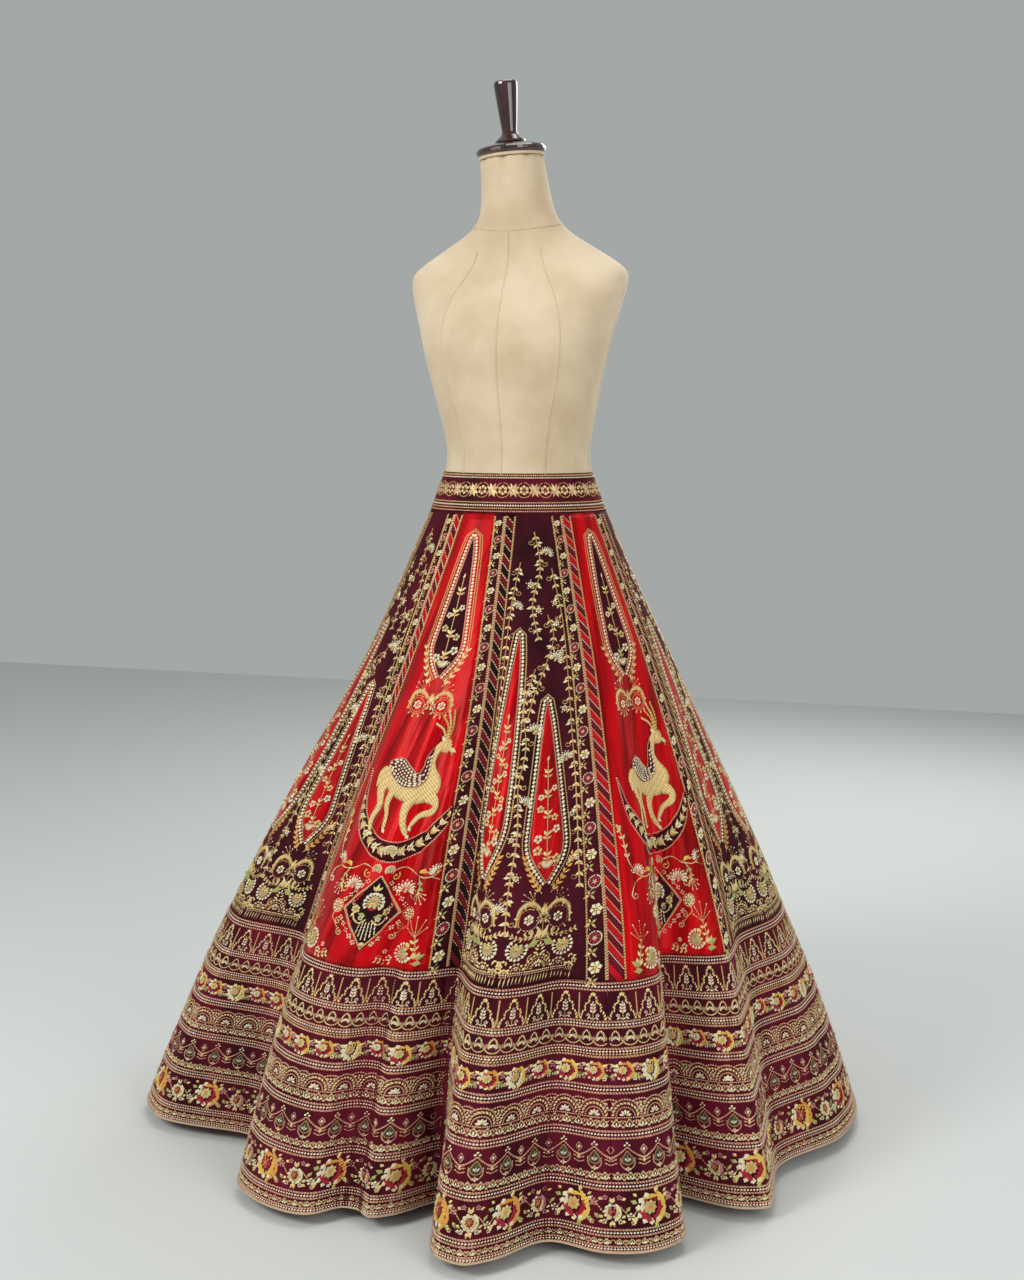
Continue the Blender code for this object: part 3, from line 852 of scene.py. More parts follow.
def embroider(name, rows, place, extent, finish):
    """Rows of stitches as one piece, hung by place(across, down, out). Its bake map is the flat
    cloth, so that every stitch has a spot of its own."""
    count = len(rows)
    x, y, turn, length, width, height, fullest = (rows[:, i, None] for i in range(7))
    local_x = 0.5 * STONE[None, :, 0] * length
    local_x = local_x + np.where(np.abs(STONE[None, :, 0]) < 0.5, (fullest - 0.5) * length, 0.0)
    local_y = 0.5 * STONE[None, :, 1] * width
    out = np.where(STONE[None, :, 2] < 0.0, -SUNK * height, height)
    across = x + np.cos(turn) * local_x - np.sin(turn) * local_y
    down = y + np.sin(turn) * local_x + np.cos(turn) * local_y
    points = place(across.ravel(), down.ravel(), (CLOTH + rows[:, 10, None] + out).ravel())
    faces = (STONE_FACES[None] + len(STONE) * np.arange(count)[:, None, None]).reshape(-1)
    mesh = bpy.data.meshes.new(name)
    mesh.vertices.add(len(points))
    mesh.vertices.foreach_set("co", points.astype(np.float32).ravel())
    mesh.loops.add(len(faces))
    mesh.loops.foreach_set("vertex_index", faces.astype(np.int32))
    mesh.polygons.add(len(faces) // 3)
    mesh.polygons.foreach_set("loop_start", np.arange(0, len(faces), 3, dtype=np.int32))
    mesh.update(calc_edges=True)
    drawn = mesh.attributes.new("thread", "FLOAT_COLOR", "POINT")
    colours = np.column_stack([np.repeat(rows[:, 7:10], len(STONE), axis=0), np.ones(len(points))])
    drawn.data.foreach_set("color", colours.astype(np.float32).ravel())
    bake_map = mesh.uv_layers.new(name="OFBake")
    flat = np.column_stack([across.ravel() / extent[0], 1.0 - down.ravel() / extent[1]])
    bake_map.data.foreach_set("uv", np.clip(flat[faces], 0.0, 1.0).astype(np.float32).ravel())
    return placed(name, mesh, finish)


def small_rose(x, y, radius, petal_colour, heart_colour, ring_colour):
    """A rose in satin stitch: an outline, a ring of overlapping petals and a wound heart."""
    return sewn(
        beads(arc(x, y, radius, 0, 350), radius * 0.3, ring_colour, height=0.0011),
        petals(x, y, 8, radius * 0.25, radius * 0.95, radius * 0.5, petal_colour),
        petals(x, y, 5, 0.0, radius * 0.48, radius * 0.34, heart_colour, start=20),
        raised(petals(x, y, 4, 0.0, radius * 0.3, radius * 0.22, STRAW, start=10), 0.0006),
    )


def blossom(x, y, radius, colour, heart, count=5, start=0.0):
    """A small open flower of five or six petals round a bead."""
    return sewn(
        petals(x, y, count, radius * 0.15, radius, radius * 0.72, colour, start=start),
        stitches(x, y, 0, radius * 0.5, radius * 0.5, 0.0018, heart),
    )


def fan_flower(x, y, turn, radius, colour, tips, cup=GOLD):
    """A carnation seen from the side: a fan of rays with bead tips over a cup. Turn is the way it
    opens, in degrees from straight up, clockwise."""
    rays = 9
    return sewn(
        petals(x, y, rays, radius * 0.1, radius * 1.08, radius * 0.27, colour, turn - 92, 184, 0.72),
        petals(x, y, rays - 1, radius * 0.92, radius * 1.22, radius * 0.22, tips, turn - 80, 160),
        petals(x, y, 3, -radius * 0.3, radius * 0.45, radius * 0.34, cup, turn - 30, 60, 0.35),
    )


def sprig(x, y, turn, length, colour, berry):
    """A stem with beads on short stalks, opening like a spray. Turn as for the fan flower."""
    rows = []
    for spread, reach in ((0, 1.0), (-24, 0.86), (26, 0.9), (-48, 0.62), (50, 0.66)):
        angle = math.radians(turn + spread)
        tip = (x + reach * length * math.sin(angle), y - reach * length * math.cos(angle))
        rows += [
            running(straight((x, y), tip), 0.0009, colour),
            stitches(tip[0], tip[1], 0, 0.003, 0.003, 0.0017, berry),
        ]
    return sewn(*rows)


def band_flowers():
    """The band's embroidery: bead lines along both edges, and leaves and flowers between them."""
    lines = (
        (0.003, 0.0034, GOLD), (0.0068, 0.0028, SILVER), (0.0455, 0.0028, GOLD),
        (0.05, 0.0036, SILVER), (0.0545, 0.003, GOLD), (0.059, 0.0028, ROSE_GOLD),
    )
    rows = [beads(straight((0.0, y), (BAND_LENGTH, y)), size, colour) for y, size, colour in lines]
    middle, count = 0.026, 24
    for number in range(count):
        x = (number + 0.5) * BAND_LENGTH / count
        rows += [
            blossom(x, middle, 0.0085, STRAW, RED, 6),
            beads(arc(x, middle, 0.0115, 0, 345), 0.002, GOLD),
        ]
        between = x + 0.5 * BAND_LENGTH / count
        for lean in (-1, 1):
            for spread in (0.5, 1.15):
                for way, colour in ((1, ROSE_GOLD), (-1, STRAW)):
                    turn = lean * DOWN + way * (DOWN - spread)
                    rows.append(leaf(between, middle, turn, 0.0125, 0.0046, colour))
        rows.append(stitches(between, middle, 0, 0.005, 0.005, 0.002, CREAM))
    return sewn(*rows)


band_zari = embroider(
    "waistband_zari", band_flowers(), hang_on_band, (BAND_LENGTH, BAND_HEIGHT), zari,
)


# The strips between the panels. Each kali has a strip of diagonal stripes on its left and a strip
# of roses on its right, both of maroon velvet, edged with cords that cover the joining seams. The
# stripes are cut bands of velvet and silk with a fine gold line along each join.

STRIPE_PITCH = 0.0155
STRIPE_SLOPE = 1.25


def striped_finish(name, first, second):
    """Bands of two colours that run down to the right, by the flat cloth's own measures."""
    finish, shade, add = new_finish(name, first, 0.6)
    across, down, _ = add(
        "ShaderNodeSeparateXYZ", Vector=add("ShaderNodeUVMap", {"uv_map": "cut"}).outputs["UV"],
    ).outputs
    slanted = add(
        "ShaderNodeMath", {"operation": "MULTIPLY_ADD"}, (across, -STRIPE_SLOPE, down),
    ).outputs["Value"]
    turns = add("ShaderNodeMath", {"operation": "DIVIDE"}, (slanted, 2 * STRIPE_PITCH)).outputs["Value"]
    phase = add("ShaderNodeMath", {"operation": "FRACT"}, (turns,)).outputs["Value"]
    pile = add(
        "ShaderNodeTexNoise", Vector=add("ShaderNodeTexCoord").outputs["Object"], Scale=1200.0,
    ).outputs["Fac"]
    relief = add("ShaderNodeBump", Strength=0.3, Distance=0.0004, Height=pile).outputs["Normal"]
    shade(
        Base_Color=graded(add, phase, ((0.0, first), (0.42, second)), "CONSTANT"), Normal=relief,
        Sheen_Weight=0.08, Sheen_Tint=(0.85, 0.05, 0.08, 1.0), Specular_IOR_Level=0.1,
    )
    return finish


STRIPED = (
    striped_finish("red_and_maroon_stripes", (0.46, 0.004, 0.009), (0.115, 0.004, 0.012)),
    striped_finish("maroon_and_black_stripes", (0.12, 0.004, 0.013), (0.006, 0.0008, 0.0015)),
)


def stripe_edge(down):
    return width_at(STRIPE_WIDTHS, down)


def first_seam(down):
    return 0.0 * down


def last_seam(down):
    return width_at(KALI_WIDTHS, down)


def flower_edge(down):
    return width_at(KALI_WIDTHS, down) - width_at(FLOWER_WIDTHS, down)


def down_line(edge, inset, top=0.004, bottom=UPPER_LENGTH - 0.002):
    """A line down the cloth at a distance from an edge, as close points."""
    down = np.linspace(top, bottom, 240)
    return np.column_stack([edge(down) + inset, down])


def stripe_strip_rows(dotted):
    """Cords down both edges, and a gold line or a row of silver dots along each stripe's join."""
    rows = [
        cord(down_line(first_seam, 0.0011), 0.0026, ROSE_GOLD),
        cord(down_line(stripe_edge, -0.0008), 0.0026, GOLD),
    ]
    steps = int((UPPER_LENGTH + 0.02) / STRIPE_PITCH)
    for number in range(-1, steps):
        start = number * STRIPE_PITCH
        inner = float(stripe_edge(np.clip(start, 0.0, UPPER_LENGTH))) - 0.0022
        left, right = ((x, start + STRIPE_SLOPE * x) for x in (0.0025, inner))
        if left[1] < 0.002 or right[1] > UPPER_LENGTH - 0.003:
            continue
        line = straight(left, right)
        if dotted:
            rows.append(beads(line, 0.0022, SILVER if number % 2 else GOLD, 0.0028))
        else:
            rows.append(running(line, 0.0017, GOLD, 0.005))
    return sewn(*rows)


def flower_strip_rows():
    """A climbing vine of roses, ringed red ones and open cream ones in turn, on maroon."""
    metal = [
        cord(down_line(flower_edge, 0.0012), 0.0026, GOLD),
        cord(down_line(last_seam, -0.0012), 0.0026, GOLD),
    ]
    threads = []
    down, number = 0.016, 0
    while down < UPPER_LENGTH - 0.014:
        strip = float(width_at(FLOWER_WIDTHS, down))
        x = float(flower_edge(down)) + 0.5 * strip
        radius = 0.34 * strip
        sway = 0.06 * strip * (1 if number % 4 < 2 else -1)
        if number % 2:
            threads.append(small_rose(x + sway, down, radius, RED, PINK, CREAM))
        else:
            threads += [
                blossom(x - sway, down, radius * 1.05, CREAM, YELLOW, 6, 12),
                blossom(x - sway, down, radius * 0.62, STRAW, ORANGE, 5, 40),
            ]
        pitch = 0.98 * strip * 0.62 + 0.0035
        stem = smooth([
            (x + sway, down + radius), (x - 0.15 * strip, down + 0.5 * pitch + radius),
            (x - sway, down + 2 * pitch - radius),
        ])
        metal.append(running(stem, 0.0012, GOLD))
        node = down + 0.98 * pitch
        for lean, colour in ((-1, STRAW), (1, GREEN)):
            metal += [
                leaf(x, node, DOWN + lean * 0.95, 0.4 * strip, 0.115 * strip, STRAW),
                leaf(x, node, UP + lean * 0.8, 0.34 * strip, 0.11 * strip, colour),
            ]
        down += 2 * pitch
        number += 1
    return sewn(*metal), sewn(*threads)


# The pointed drops, the crescent and the diamond: patches of the other cloth, turned under and
# couched down over a thin pad, so that they swell a little from the panel.

PATCH_SWELL = 0.0013
PATCH_WALL = 0.0007


def patch_piece(name, patches, kalis_place, finish, lift=0.0):
    """Patches laid on one kali. Each is (left line, right line, columns), both lines going down."""
    shape = bmesh.new()
    cut_map = shape.loops.layers.uv.new("cut")
    for left, right, columns in patches:
        rows = len(left) - 1
        first = len(shape.verts)
        grid = bmesh.ops.create_grid(shape, x_segments=columns, y_segments=rows, size=0.5)["verts"]
        flat = np.array([corner.co for corner in grid])
        u, v = flat[:, 0] + 0.5, 0.5 - flat[:, 1]
        share = v * rows
        start, end = (sampled(side, np.arange(rows + 1), share) for side in (left, right))
        spot = start + u[:, None] * (end - start)
        rounded = np.clip(4 * u * (1 - u), 0.0, 1.0) * np.clip(8 * v * (1 - v), 0.0, 1.0)
        swell = PATCH_SWELL * rounded ** 0.35
        points = kalis_place(spot[:, 0], spot[:, 1], CLOTH - 0.0002 + lift + swell)
        for corner, point in zip(grid, points):
            corner.co = point
        places = {corner: place for corner, place in zip(grid, spot)}
        for face in {face for corner in grid for face in corner.link_faces}:
            for loop in face.loops:
                loop[cut_map].uv = places[loop.vert]
    bmesh.ops.remove_doubles(shape, verts=shape.verts[:], dist=0.00002)
    return walled(name, shape, finish, PATCH_WALL)[0]


DROP_OUTLINE = (
    # share of the height down from the point, share of the half width
    (0.0, 0.0), (0.14, 0.25), (0.44, 0.63), (0.7, 0.94), (0.8, 1.0), (0.89, 0.72), (1.0, 0.0),
)


def drop_sides(x_top, y_top, x_foot, y_foot, half_width, count=34):
    """Both sides of a pointed drop, going down."""
    shares, sizes = zip(*DROP_OUTLINE)
    line = smooth(np.column_stack([shares, sizes]), 0.01)
    t = 0.5 - 0.5 * np.cos(np.linspace(0.0, math.pi, count))
    reach = half_width * np.maximum(np.interp(t, line[:, 0], line[:, 1]), 0.0)
    x, y = x_top + t * (x_foot - x_top), y_top + t * (y_foot - y_top)
    return np.column_stack([x - reach, y]), np.column_stack([x + reach, y])


def drop_rims(left, right, big):
    """Bead lines round a drop: a cord on its edge, large stones outside it and a fine cord last."""
    loop = np.vstack([left[::-1], right[1:]])
    steps = smooth(loop, 0.002)
    return sewn(
        cord(steps, 0.0022, ROSE_GOLD),
        beads(beside(steps, -0.0044), big, CREAM, big * 0.98, big * 0.5),
        beads(beside(steps, -0.0044 - big * 0.95), 0.003, GOLD),
    )


def inner_tree(x_top, y_top, x_foot, y_foot, half_width, blooms):
    """The little flowering tree worked inside a drop."""
    top, foot = np.array((x_top, y_top)), np.array((x_foot, y_foot))
    metal = [running(straight(top, foot), 0.0013, GOLD, 0.005), leaf(*top, UP, 0.009, 0.0032, STRAW)]
    threads = []
    for number in range(blooms):
        share = (number + 0.6) / blooms
        x, y = top + share * (foot - top)
        reach = half_width * (0.3 + 0.42 * share)
        for side in (-1, 1):
            metal += [
                leaf(x, y, UP + side * 0.75, 0.01, 0.0034, STRAW),
                leaf(x, y + 0.005, UP + side * 1.15, 0.008, 0.003, GOLD),
            ]
            if number >= 1:
                spot = (x + side * reach, y - 0.002 + side * (-1) ** number * 0.0065)
                colour = CREAM if number % 2 else STRAW
                threads.append(blossom(*spot, 0.0036 + 0.0042 * share, colour, WINE, 5, 36 * number))
                metal.append(running(straight((x, y), spot), 0.0011, GOLD))
    threads.append(fan_flower(foot[0], foot[1] - 0.004, 180, 0.0085, CREAM, STRAW))
    for side in (-1, 1):
        metal.append(curl(foot[0] + side * 0.01, foot[1] - 0.001, 0.0045, 180, 0.8, -side, 0.0014, GOLD))
    return sewn(*metal), sewn(*threads)


def fountain(x, y, size, ringed):
    """Two crescent leaves that arch like a fountain over a pair of rayed flowers, with a leaf fan
    between them and dotted sprigs either side. Size is the arch's reach."""
    arch = smooth([(0.0, 0.0), (0.3, -0.36), (0.66, -0.46), (0.93, -0.22), (1.0, 0.32)]) * size
    widths = 0.0022 + 0.0046 * np.sin(np.linspace(0.0, math.pi, 200)) ** 1.5
    arch_x, arch_y, turn = along(arch, 0.0021)
    thick = np.interp(np.linspace(0, 1, len(turn)), np.linspace(0, 1, 200), widths)
    flower = (0.56 * size, 0.1 * size)
    bead, ring = (0.002, WINE) if ringed else (0.0016, GOLD)
    metal = [
        cord(beside(arch, 0.0034 * size / 0.04), 0.0014, ORANGE),
        beads(arc(*flower, 0.29 * size, 0, 350), bead, ring),
        running(arc(*flower, 0.37 * size, -30, 250), 0.0012, GOLD),
        leaf(0.0, -0.002, UP + 0.42, 0.3 * size, 0.0042, STRAW),
        leaf(0.0, -0.004, UP + 0.16, 0.38 * size, 0.0036, GOLD),
        sprig(0.42 * size, -0.5 * size, 52, 0.5 * size, GOLD, SILVER),
        running(straight((0.05 * size, -0.2 * size), (0.42 * size, -0.5 * size)), 0.0012, GOLD),
        sprig(0.03 * size, 0.1 * size, 100, 0.24 * size, GOLD, SILVER),
    ]
    threads = [
        stitches(arch_x, arch_y, turn + DOWN - 0.35, thick * 1.5, 0.003, 0.0019, STRAW),
        blossom(*flower, 0.2 * size, CREAM, STRAW, 6),
        petals(*flower, 11, 0.36 * size, 0.56 * size, 0.0034, STRAW, 20, 300),
    ]
    return [moved(both_ways(sewn(*part)), x, y) for part in (metal, threads)]


def shell_flower(x, y, turn, radius):
    """A lotus like an open shell: a scalloped rim, a ground of rays and a small heart."""
    rim = [
        petals(0, 0, 12, radius * 0.62, radius * 1.12, radius * 0.36, CREAM, -125, 250, 0.7),
        petals(0, 0, 12, -radius * 0.05, radius * 0.76, radius * 0.32, OLD_GOLD, -118, 236, 0.7),
        raised(petals(0, 0, 9, radius * 0.2, radius * 0.78, radius * 0.085, CREAM, -100, 200), 0.001),
        raised(
            petals(0, radius * 0.34, 6, 0.0, radius * 0.46, radius * 0.24, STRAW, -115, 230), 0.0008,
        ),
        raised(petals(0, radius * 0.42, 3, 0.0, radius * 0.34, radius * 0.18, GREEN, -40, 80), 0.0014),
    ]
    return moved(sewn(*rim), x, y, math.radians(turn))


# The maroon panel. Two red drops stand on a garden: under each a fountain of crescent leaves, big
# leaves, shell flowers, and a pavilion of small domes with a fringe of bars at the foot. Vines of
# carnations climb between the drops.

PANEL_FOOT = UPPER_LENGTH - 0.003
TALL_DROP = (-0.024, 0.196, -0.062, 0.566, 0.0265)
SHORT_DROP = (0.024, 0.3, 0.047, 0.57, 0.0265)


def panel_middle(down):
    return 0.5 * (stripe_edge(down) + flower_edge(down))


def dome(x, y, radius, bars):
    """A scalloped dome over a flower on a bead base, with a fringe of bars under it."""
    count = max(int(math.pi * radius / 0.0052), 5)
    bar_x = x + (np.arange(bars) + 0.5 - bars / 2) * (1.9 * radius / bars)
    return sewn(
        beads(arc(x, y, radius, -88, 88), 0.0046, STRAW, math.pi * radius / count, 0.0028),
        running(arc(x, y, radius - 0.0042, -84, 84), 0.0016, ROSE_GOLD),
        petals(x, y, count, radius * 0.34, radius - 0.0058, radius * 0.1, GOLD, -78, 156),
        beads(straight((x - radius, y + 0.0015), (x + radius, y + 0.0015)), 0.003, STRAW),
        beads(straight((x - radius, y + 0.0044), (x + radius, y + 0.0044)), 0.0024, ROSE_GOLD),
        blossom(x, y - radius * 0.42, radius * 0.3, CREAM, RED),
        stitches(bar_x, y + 0.0118, DOWN, 0.0145, 0.002, 0.001, STRAW),
    )


def garden():
    """Everything below one drop, its origin on the panel's foot under the drop's point."""
    spray = smooth([(0.007, -0.125), (0.024, -0.148), (0.037, -0.18)])
    scroll = smooth([(0.004, -0.062), (0.02, -0.066), (0.034, -0.064), (0.052, -0.072)])
    stalk = smooth([(0.046, -0.038), (0.05, -0.032), (0.056, -0.03)])
    half_metal = [
        leaf_pairs(spray, 7, 0.0105, 0.004, ORANGE, 0.55),
        running(spray, 0.0012, STRAW),
        running(straight((0.001, -0.06), (0.02, -0.05)), 0.0013, ORANGE),
        cord(scroll, 0.0016, GOLD),
        leaf_pairs(scroll, 7, 0.0068, 0.002448, STRAW),
        curl(0.0185, -0.0715, 0.0058, 160, 0.9, 1, 0.0016, STRAW),
        curl(0.012, -0.033, 0.0072, 0, 0.9, 1, 0.0017, GOLD),
        leaf_pairs(stalk, 2, 0.0066, 0.0028, STRAW),
        dome(0.0325, -0.0185, 0.0108, 4),
        dome(0.049, -0.0165, 0.0056, 2),
    ]
    for rise in (0.0, 0.005, 0.0096):
        half_metal += [leaf(0.0008, -0.04 - rise, -0.35 - rise * 30, 0.0115 - 0.45 * rise, 0.003, STRAW)]
    half_threads = [
        leaf(0.001, -0.06, UP + 0.38, 0.021, 0.0095, STRAW),
        leaf(0.002, -0.06, 0.42, 0.024, 0.0098, GREEN),
        shell_flower(0.035, -0.049, 166, 0.015),
        blossom(0.0555, -0.026, 0.0046, STRAW, RED),
    ]
    fountain_metal, fountain_threads = fountain(0.0, -0.094, 0.041, True)
    metal = [
        both_ways(sewn(*half_metal)), fountain_metal, dome(0.0, -0.0185, 0.0205, 8),
        cord(straight((0.0, -0.09), (0.0, -0.056)), 0.0015, GOLD),
        stitches(0.0, -0.0545, DOWN, 0.009, 0.0036, 0.0018, SILVER),
    ]
    return sewn(*metal), sewn(both_ways(sewn(*half_threads)), fountain_threads)


def climbing_vine(points, flowers, leaves):
    """A vine with leaves in pairs and carnations or cream blossoms at shares of its length."""
    path = smooth(points)
    metal = [cord(path, 0.0014, GOLD), leaf_pairs(path, leaves, 0.0094, 0.0034, STRAW)]
    threads = []
    for number, (x, y, turn) in enumerate(zip(*along(path, 0.034))):
        side = 1 if number % 2 else -1
        metal += [
            curl(x + side * 0.0085, y, 0.0052, -90 * side, 0.9, -side, 0.0012, GOLD),
            leaf(x, y, turn + side * 1.3, 0.0105, 0.004, CREAM),
        ]
    for share, side, kind, radius in flowers:
        x, y = path[int(share * (len(path) - 1))] + (side * radius * 1.1, -0.2 * radius)
        if kind == "fan":
            threads.append(fan_flower(x, y, 25 * side, radius, CREAM, SILVER))
        else:
            threads += [
                blossom(x, y, radius * 0.62, CREAM, STRAW, 6),
                petals(x, y, 5, radius * 0.6, radius, 0.0028, STRAW),
            ]
    return sewn(*metal), sewn(*threads)


VINES = (
    # points, (share of the length, side, flower, radius), pairs of leaves
    ([(0.000, 0.03), (0.008, 0.09), (-0.004, 0.15), (0.006, 0.205)],
     ((0.22, 1, "fan", 0.01), (0.5, -1, "bloom", 0.0085), (0.74, 1, "bloom", 0.0085)), 14),
    ([(0.02, 0.165), (0.03, 0.2), (0.018, 0.245), (0.004, 0.285), (-0.006, 0.33)],
     ((0.1, 1, "bloom", 0.008), (0.45, 1, "fan", 0.0125), (0.75, -1, "bloom", 0.0075)), 12),
    ([(0.002, 0.25), (-0.012, 0.31), (-0.004, 0.37), (-0.01, 0.43),
      (-0.004, 0.5), (-0.008, 0.57), (-0.006, 0.64)],
     ((0.1, -1, "bloom", 0.007), (0.26, 1, "fan", 0.0125), (0.42, -1, "bloom", 0.0065),
      (0.53, 1, "fan", 0.01),
      (0.66, -1, "bloom", 0.007), (0.8, 1, "bloom", 0.008), (0.93, -1, "fan", 0.0115)), 28),
    ([(-0.022, 0.08), (-0.04, 0.16), (-0.052, 0.24), (-0.07, 0.34), (-0.088, 0.44), (-0.104, 0.55)],
     (
         (0.16, 1, "fan", 0.009), (0.34, -1, "bloom", 0.0065), (0.62, 1, "bloom", 0.006),
         (0.86, 1, "bloom", 0.0065),
     ), 30),
    ([(0.026, 0.09), (0.044, 0.17), (0.054, 0.25), (0.066, 0.34), (0.08, 0.43),
      (0.092, 0.52), (0.1, 0.58)],
     ((0.12, -1, "bloom", 0.007), (0.28, -1, "bloom", 0.007), (0.46, -1, "bloom", 0.0085),
      (0.62, -1, "fan", 0.0115),
      (0.78, -1, "bloom", 0.0075), (0.92, -1, "fan", 0.0085)), 30),
)


def maroon_panel_design():
    """All the embroidery on a maroon panel, drawn about the panel's upright middle line."""
    metal, threads = [], []
    for drop, tree_top, blooms in ((TALL_DROP, 0.36, 8), (SHORT_DROP, 0.34, 5)):
        x_top, y_top, x_foot, y_foot, half_width = drop
        run, rise = x_foot - x_top, y_foot - y_top
        tree = inner_tree(
            x_top + tree_top * run, y_top + tree_top * rise, x_foot - 0.1 * run, y_foot - 0.1 * rise,
            half_width * 0.86, blooms,
        )
        bed = [moved(part, x_foot + math.copysign(0.002, x_foot), PANEL_FOOT) for part in garden()]
        metal += [drop_rims(*drop_sides(*drop), 0.0062), raised(tree[0], PATCH_SWELL), bed[0]]
        threads += [raised(tree[1], PATCH_SWELL), bed[1]]
    for vine in VINES:
        for part, rows in zip((metal, threads), climbing_vine(*vine)):
            part.append(rows)
    return sewn(*metal), sewn(*threads)


# The red panel. From the top: a dark drop with its sprays, a fountain with two rayed flowers, a
# fabulous deer with a plume and a spotted saddle, a dark crescent of roses under it, and a dark
# diamond with a flower basket between two sprays of vine.

DEER_BODY = (
    # centre line and widths of each padded part, back to front: hind legs, tail, forelegs, body, neck
    (((-0.02, 0.122), (-0.027, 0.148), (-0.019, 0.167), (-0.017, 0.187)), (0.018, 0.01, 0.007, 0.006)),
    (
        ((-0.033, 0.106), (-0.045, 0.13), (-0.039, 0.153), (-0.045, 0.175), (-0.042, 0.193)),
        (0.03, 0.017, 0.009, 0.007, 0.006),
    ),
    (((-0.043, 0.102), (-0.053, 0.112), (-0.056, 0.13)), (0.012, 0.012, 0.003)),
    (
        ((0.034, 0.132), (0.059, 0.145), (0.056, 0.157), (0.037, 0.165), (0.025, 0.182)),
        (0.026, 0.015, 0.011, 0.008, 0.006),
    ),
    (((0.02, 0.132), (0.011, 0.155), (0.014, 0.176), (0.025, 0.193)), (0.024, 0.012, 0.008, 0.007)),
    (((0.05, 0.124), (0.03, 0.13), (0.006, 0.129), (-0.016, 0.121), (-0.033, 0.11), (-0.044, 0.102)),
     (0.022, 0.037, 0.036, 0.035, 0.036, 0.02)),
    (((0.045, 0.056), (0.033, 0.072), (0.029, 0.09), (0.036, 0.106), (0.043, 0.121), (0.038, 0.138)),
     (0.01, 0.012, 0.014, 0.019, 0.028, 0.022)),
    (((0.038, 0.06), (0.047, 0.064), (0.056, 0.067)), (0.012, 0.021, 0.01)),
)
DEER_SADDLE = (
    (
        (0.0275, 0.068), (0.0245, 0.084), (0.025, 0.098), (0.022, 0.11), (0.009, 0.116), (-0.009, 0.109),
        (-0.026, 0.099), (-0.043, 0.095),
    ),
    (0.004, 0.008, 0.012, 0.018, 0.026, 0.031, 0.03, 0.017),
)


def on_the_deer(points):
    return np.asarray(points, float) * DEER_SIZE + DEER_PLACE + (-0.006, 0.0)


def ribbon_sides(points, widths, count=22):
    """Both edges of a padded part, with rounded ends, from its centre line and widths."""
    path = smooth(on_the_deer(points))
    run = np.linspace(0.0, 1.0, len(path))
    knots = np.column_stack([np.linspace(0.0, 1.0, len(widths)), widths])
    profile = smooth(knots, 0.004)
    share = 0.5 - 0.5 * np.cos(np.linspace(0.0, math.pi, count))
    rounding = np.minimum(1.0, 9 * np.minimum(share, 1 - share) + 0.03) ** 0.5
    reach = 0.5 * np.interp(share, profile[:, 0], profile[:, 1]) * rounding
    centre = sampled(path, run, share)
    heading = np.gradient(centre, axis=0)
    heading /= np.linalg.norm(heading, axis=1)[:, None]
    sideways = np.column_stack([heading[:, 1], -heading[:, 0]]) * reach[:, None]
    return centre + sideways, centre - sideways


def deer():
    """What is worked over the padded animal: outlines, saddle spots, face, hooves and plume."""
    sides = [side for part in DEER_BODY for side in ribbon_sides(*part)]
    saddle = ribbon_sides(*DEER_SADDLE, 60)
    metal = [raised(running(side, 0.0008, OLD_GOLD), 0.0006) for side in sides]
    metal += [raised(cord(side, 0.0014, ROSE_GOLD), 0.002) for side in saddle]
    widths = np.linalg.norm(saddle[1] - saddle[0], axis=1)
    threads = []
    for number, lane in enumerate((0.13, 0.28, 0.43, 0.58, 0.73, 0.88)):
        line = saddle[0] + lane * (saddle[1] - saddle[0])
        x, y, turn = along(line, 0.0066, 0.5 if number % 2 else 0.15)
        wide = np.array([widths[np.argmin(np.hypot(*(line - spot).T))] for spot in zip(x, y)])
        keep = wide > (0.018 if number % 3 else 0.006)
        spots = stitches(x[keep], y[keep], turn[keep], 0.0062, 0.0042, 0.0014, CREAM)
        threads.append(raised(spots, 0.003))
    detail = [
        petals(0.0475, 0.064, 14, 0.0, 0.0118, 0.0042, GOLD),
        stitches(0.049, 0.063, 0, 0.0042, 0.0042, 0.0022, OLD_GOLD),
        leaf(0.0545, 0.0665, 0.45, 0.0145, 0.0054, STRAW),
        leaf(0.06, 0.0715, 0.95, 0.008, 0.0024, OLD_GOLD),
        leaf(0.043, 0.059, -2.35, 0.011, 0.0044, CREAM),
    ]
    for x, y in ((-0.043, 0.191), (-0.018, 0.185), (0.024, 0.191), (0.024, 0.18)):
        detail.append(leaf(x, y, 0.75, 0.0085, 0.0044, CREAM))
    for colour, *points in (
        (ORANGE, (0.044, 0.055), (0.04, 0.036), (0.026, 0.022)),
        (STRAW, (0.045, 0.055), (0.044, 0.034), (0.034, 0.014)),
        (ORANGE, (0.047, 0.054), (0.05, 0.034), (0.044, 0.012)),
        (STRAW, (0.043, 0.056), (0.034, 0.042), (0.018, 0.034)),
    ):
        detail.append(cord(smooth(points), 0.003, colour, 0.35))
    detail = raised(sewn(*detail), 0.0012)
    detail[:, :2] = on_the_deer(detail[:, :2])
    return sewn(*metal), sewn(*threads, detail)


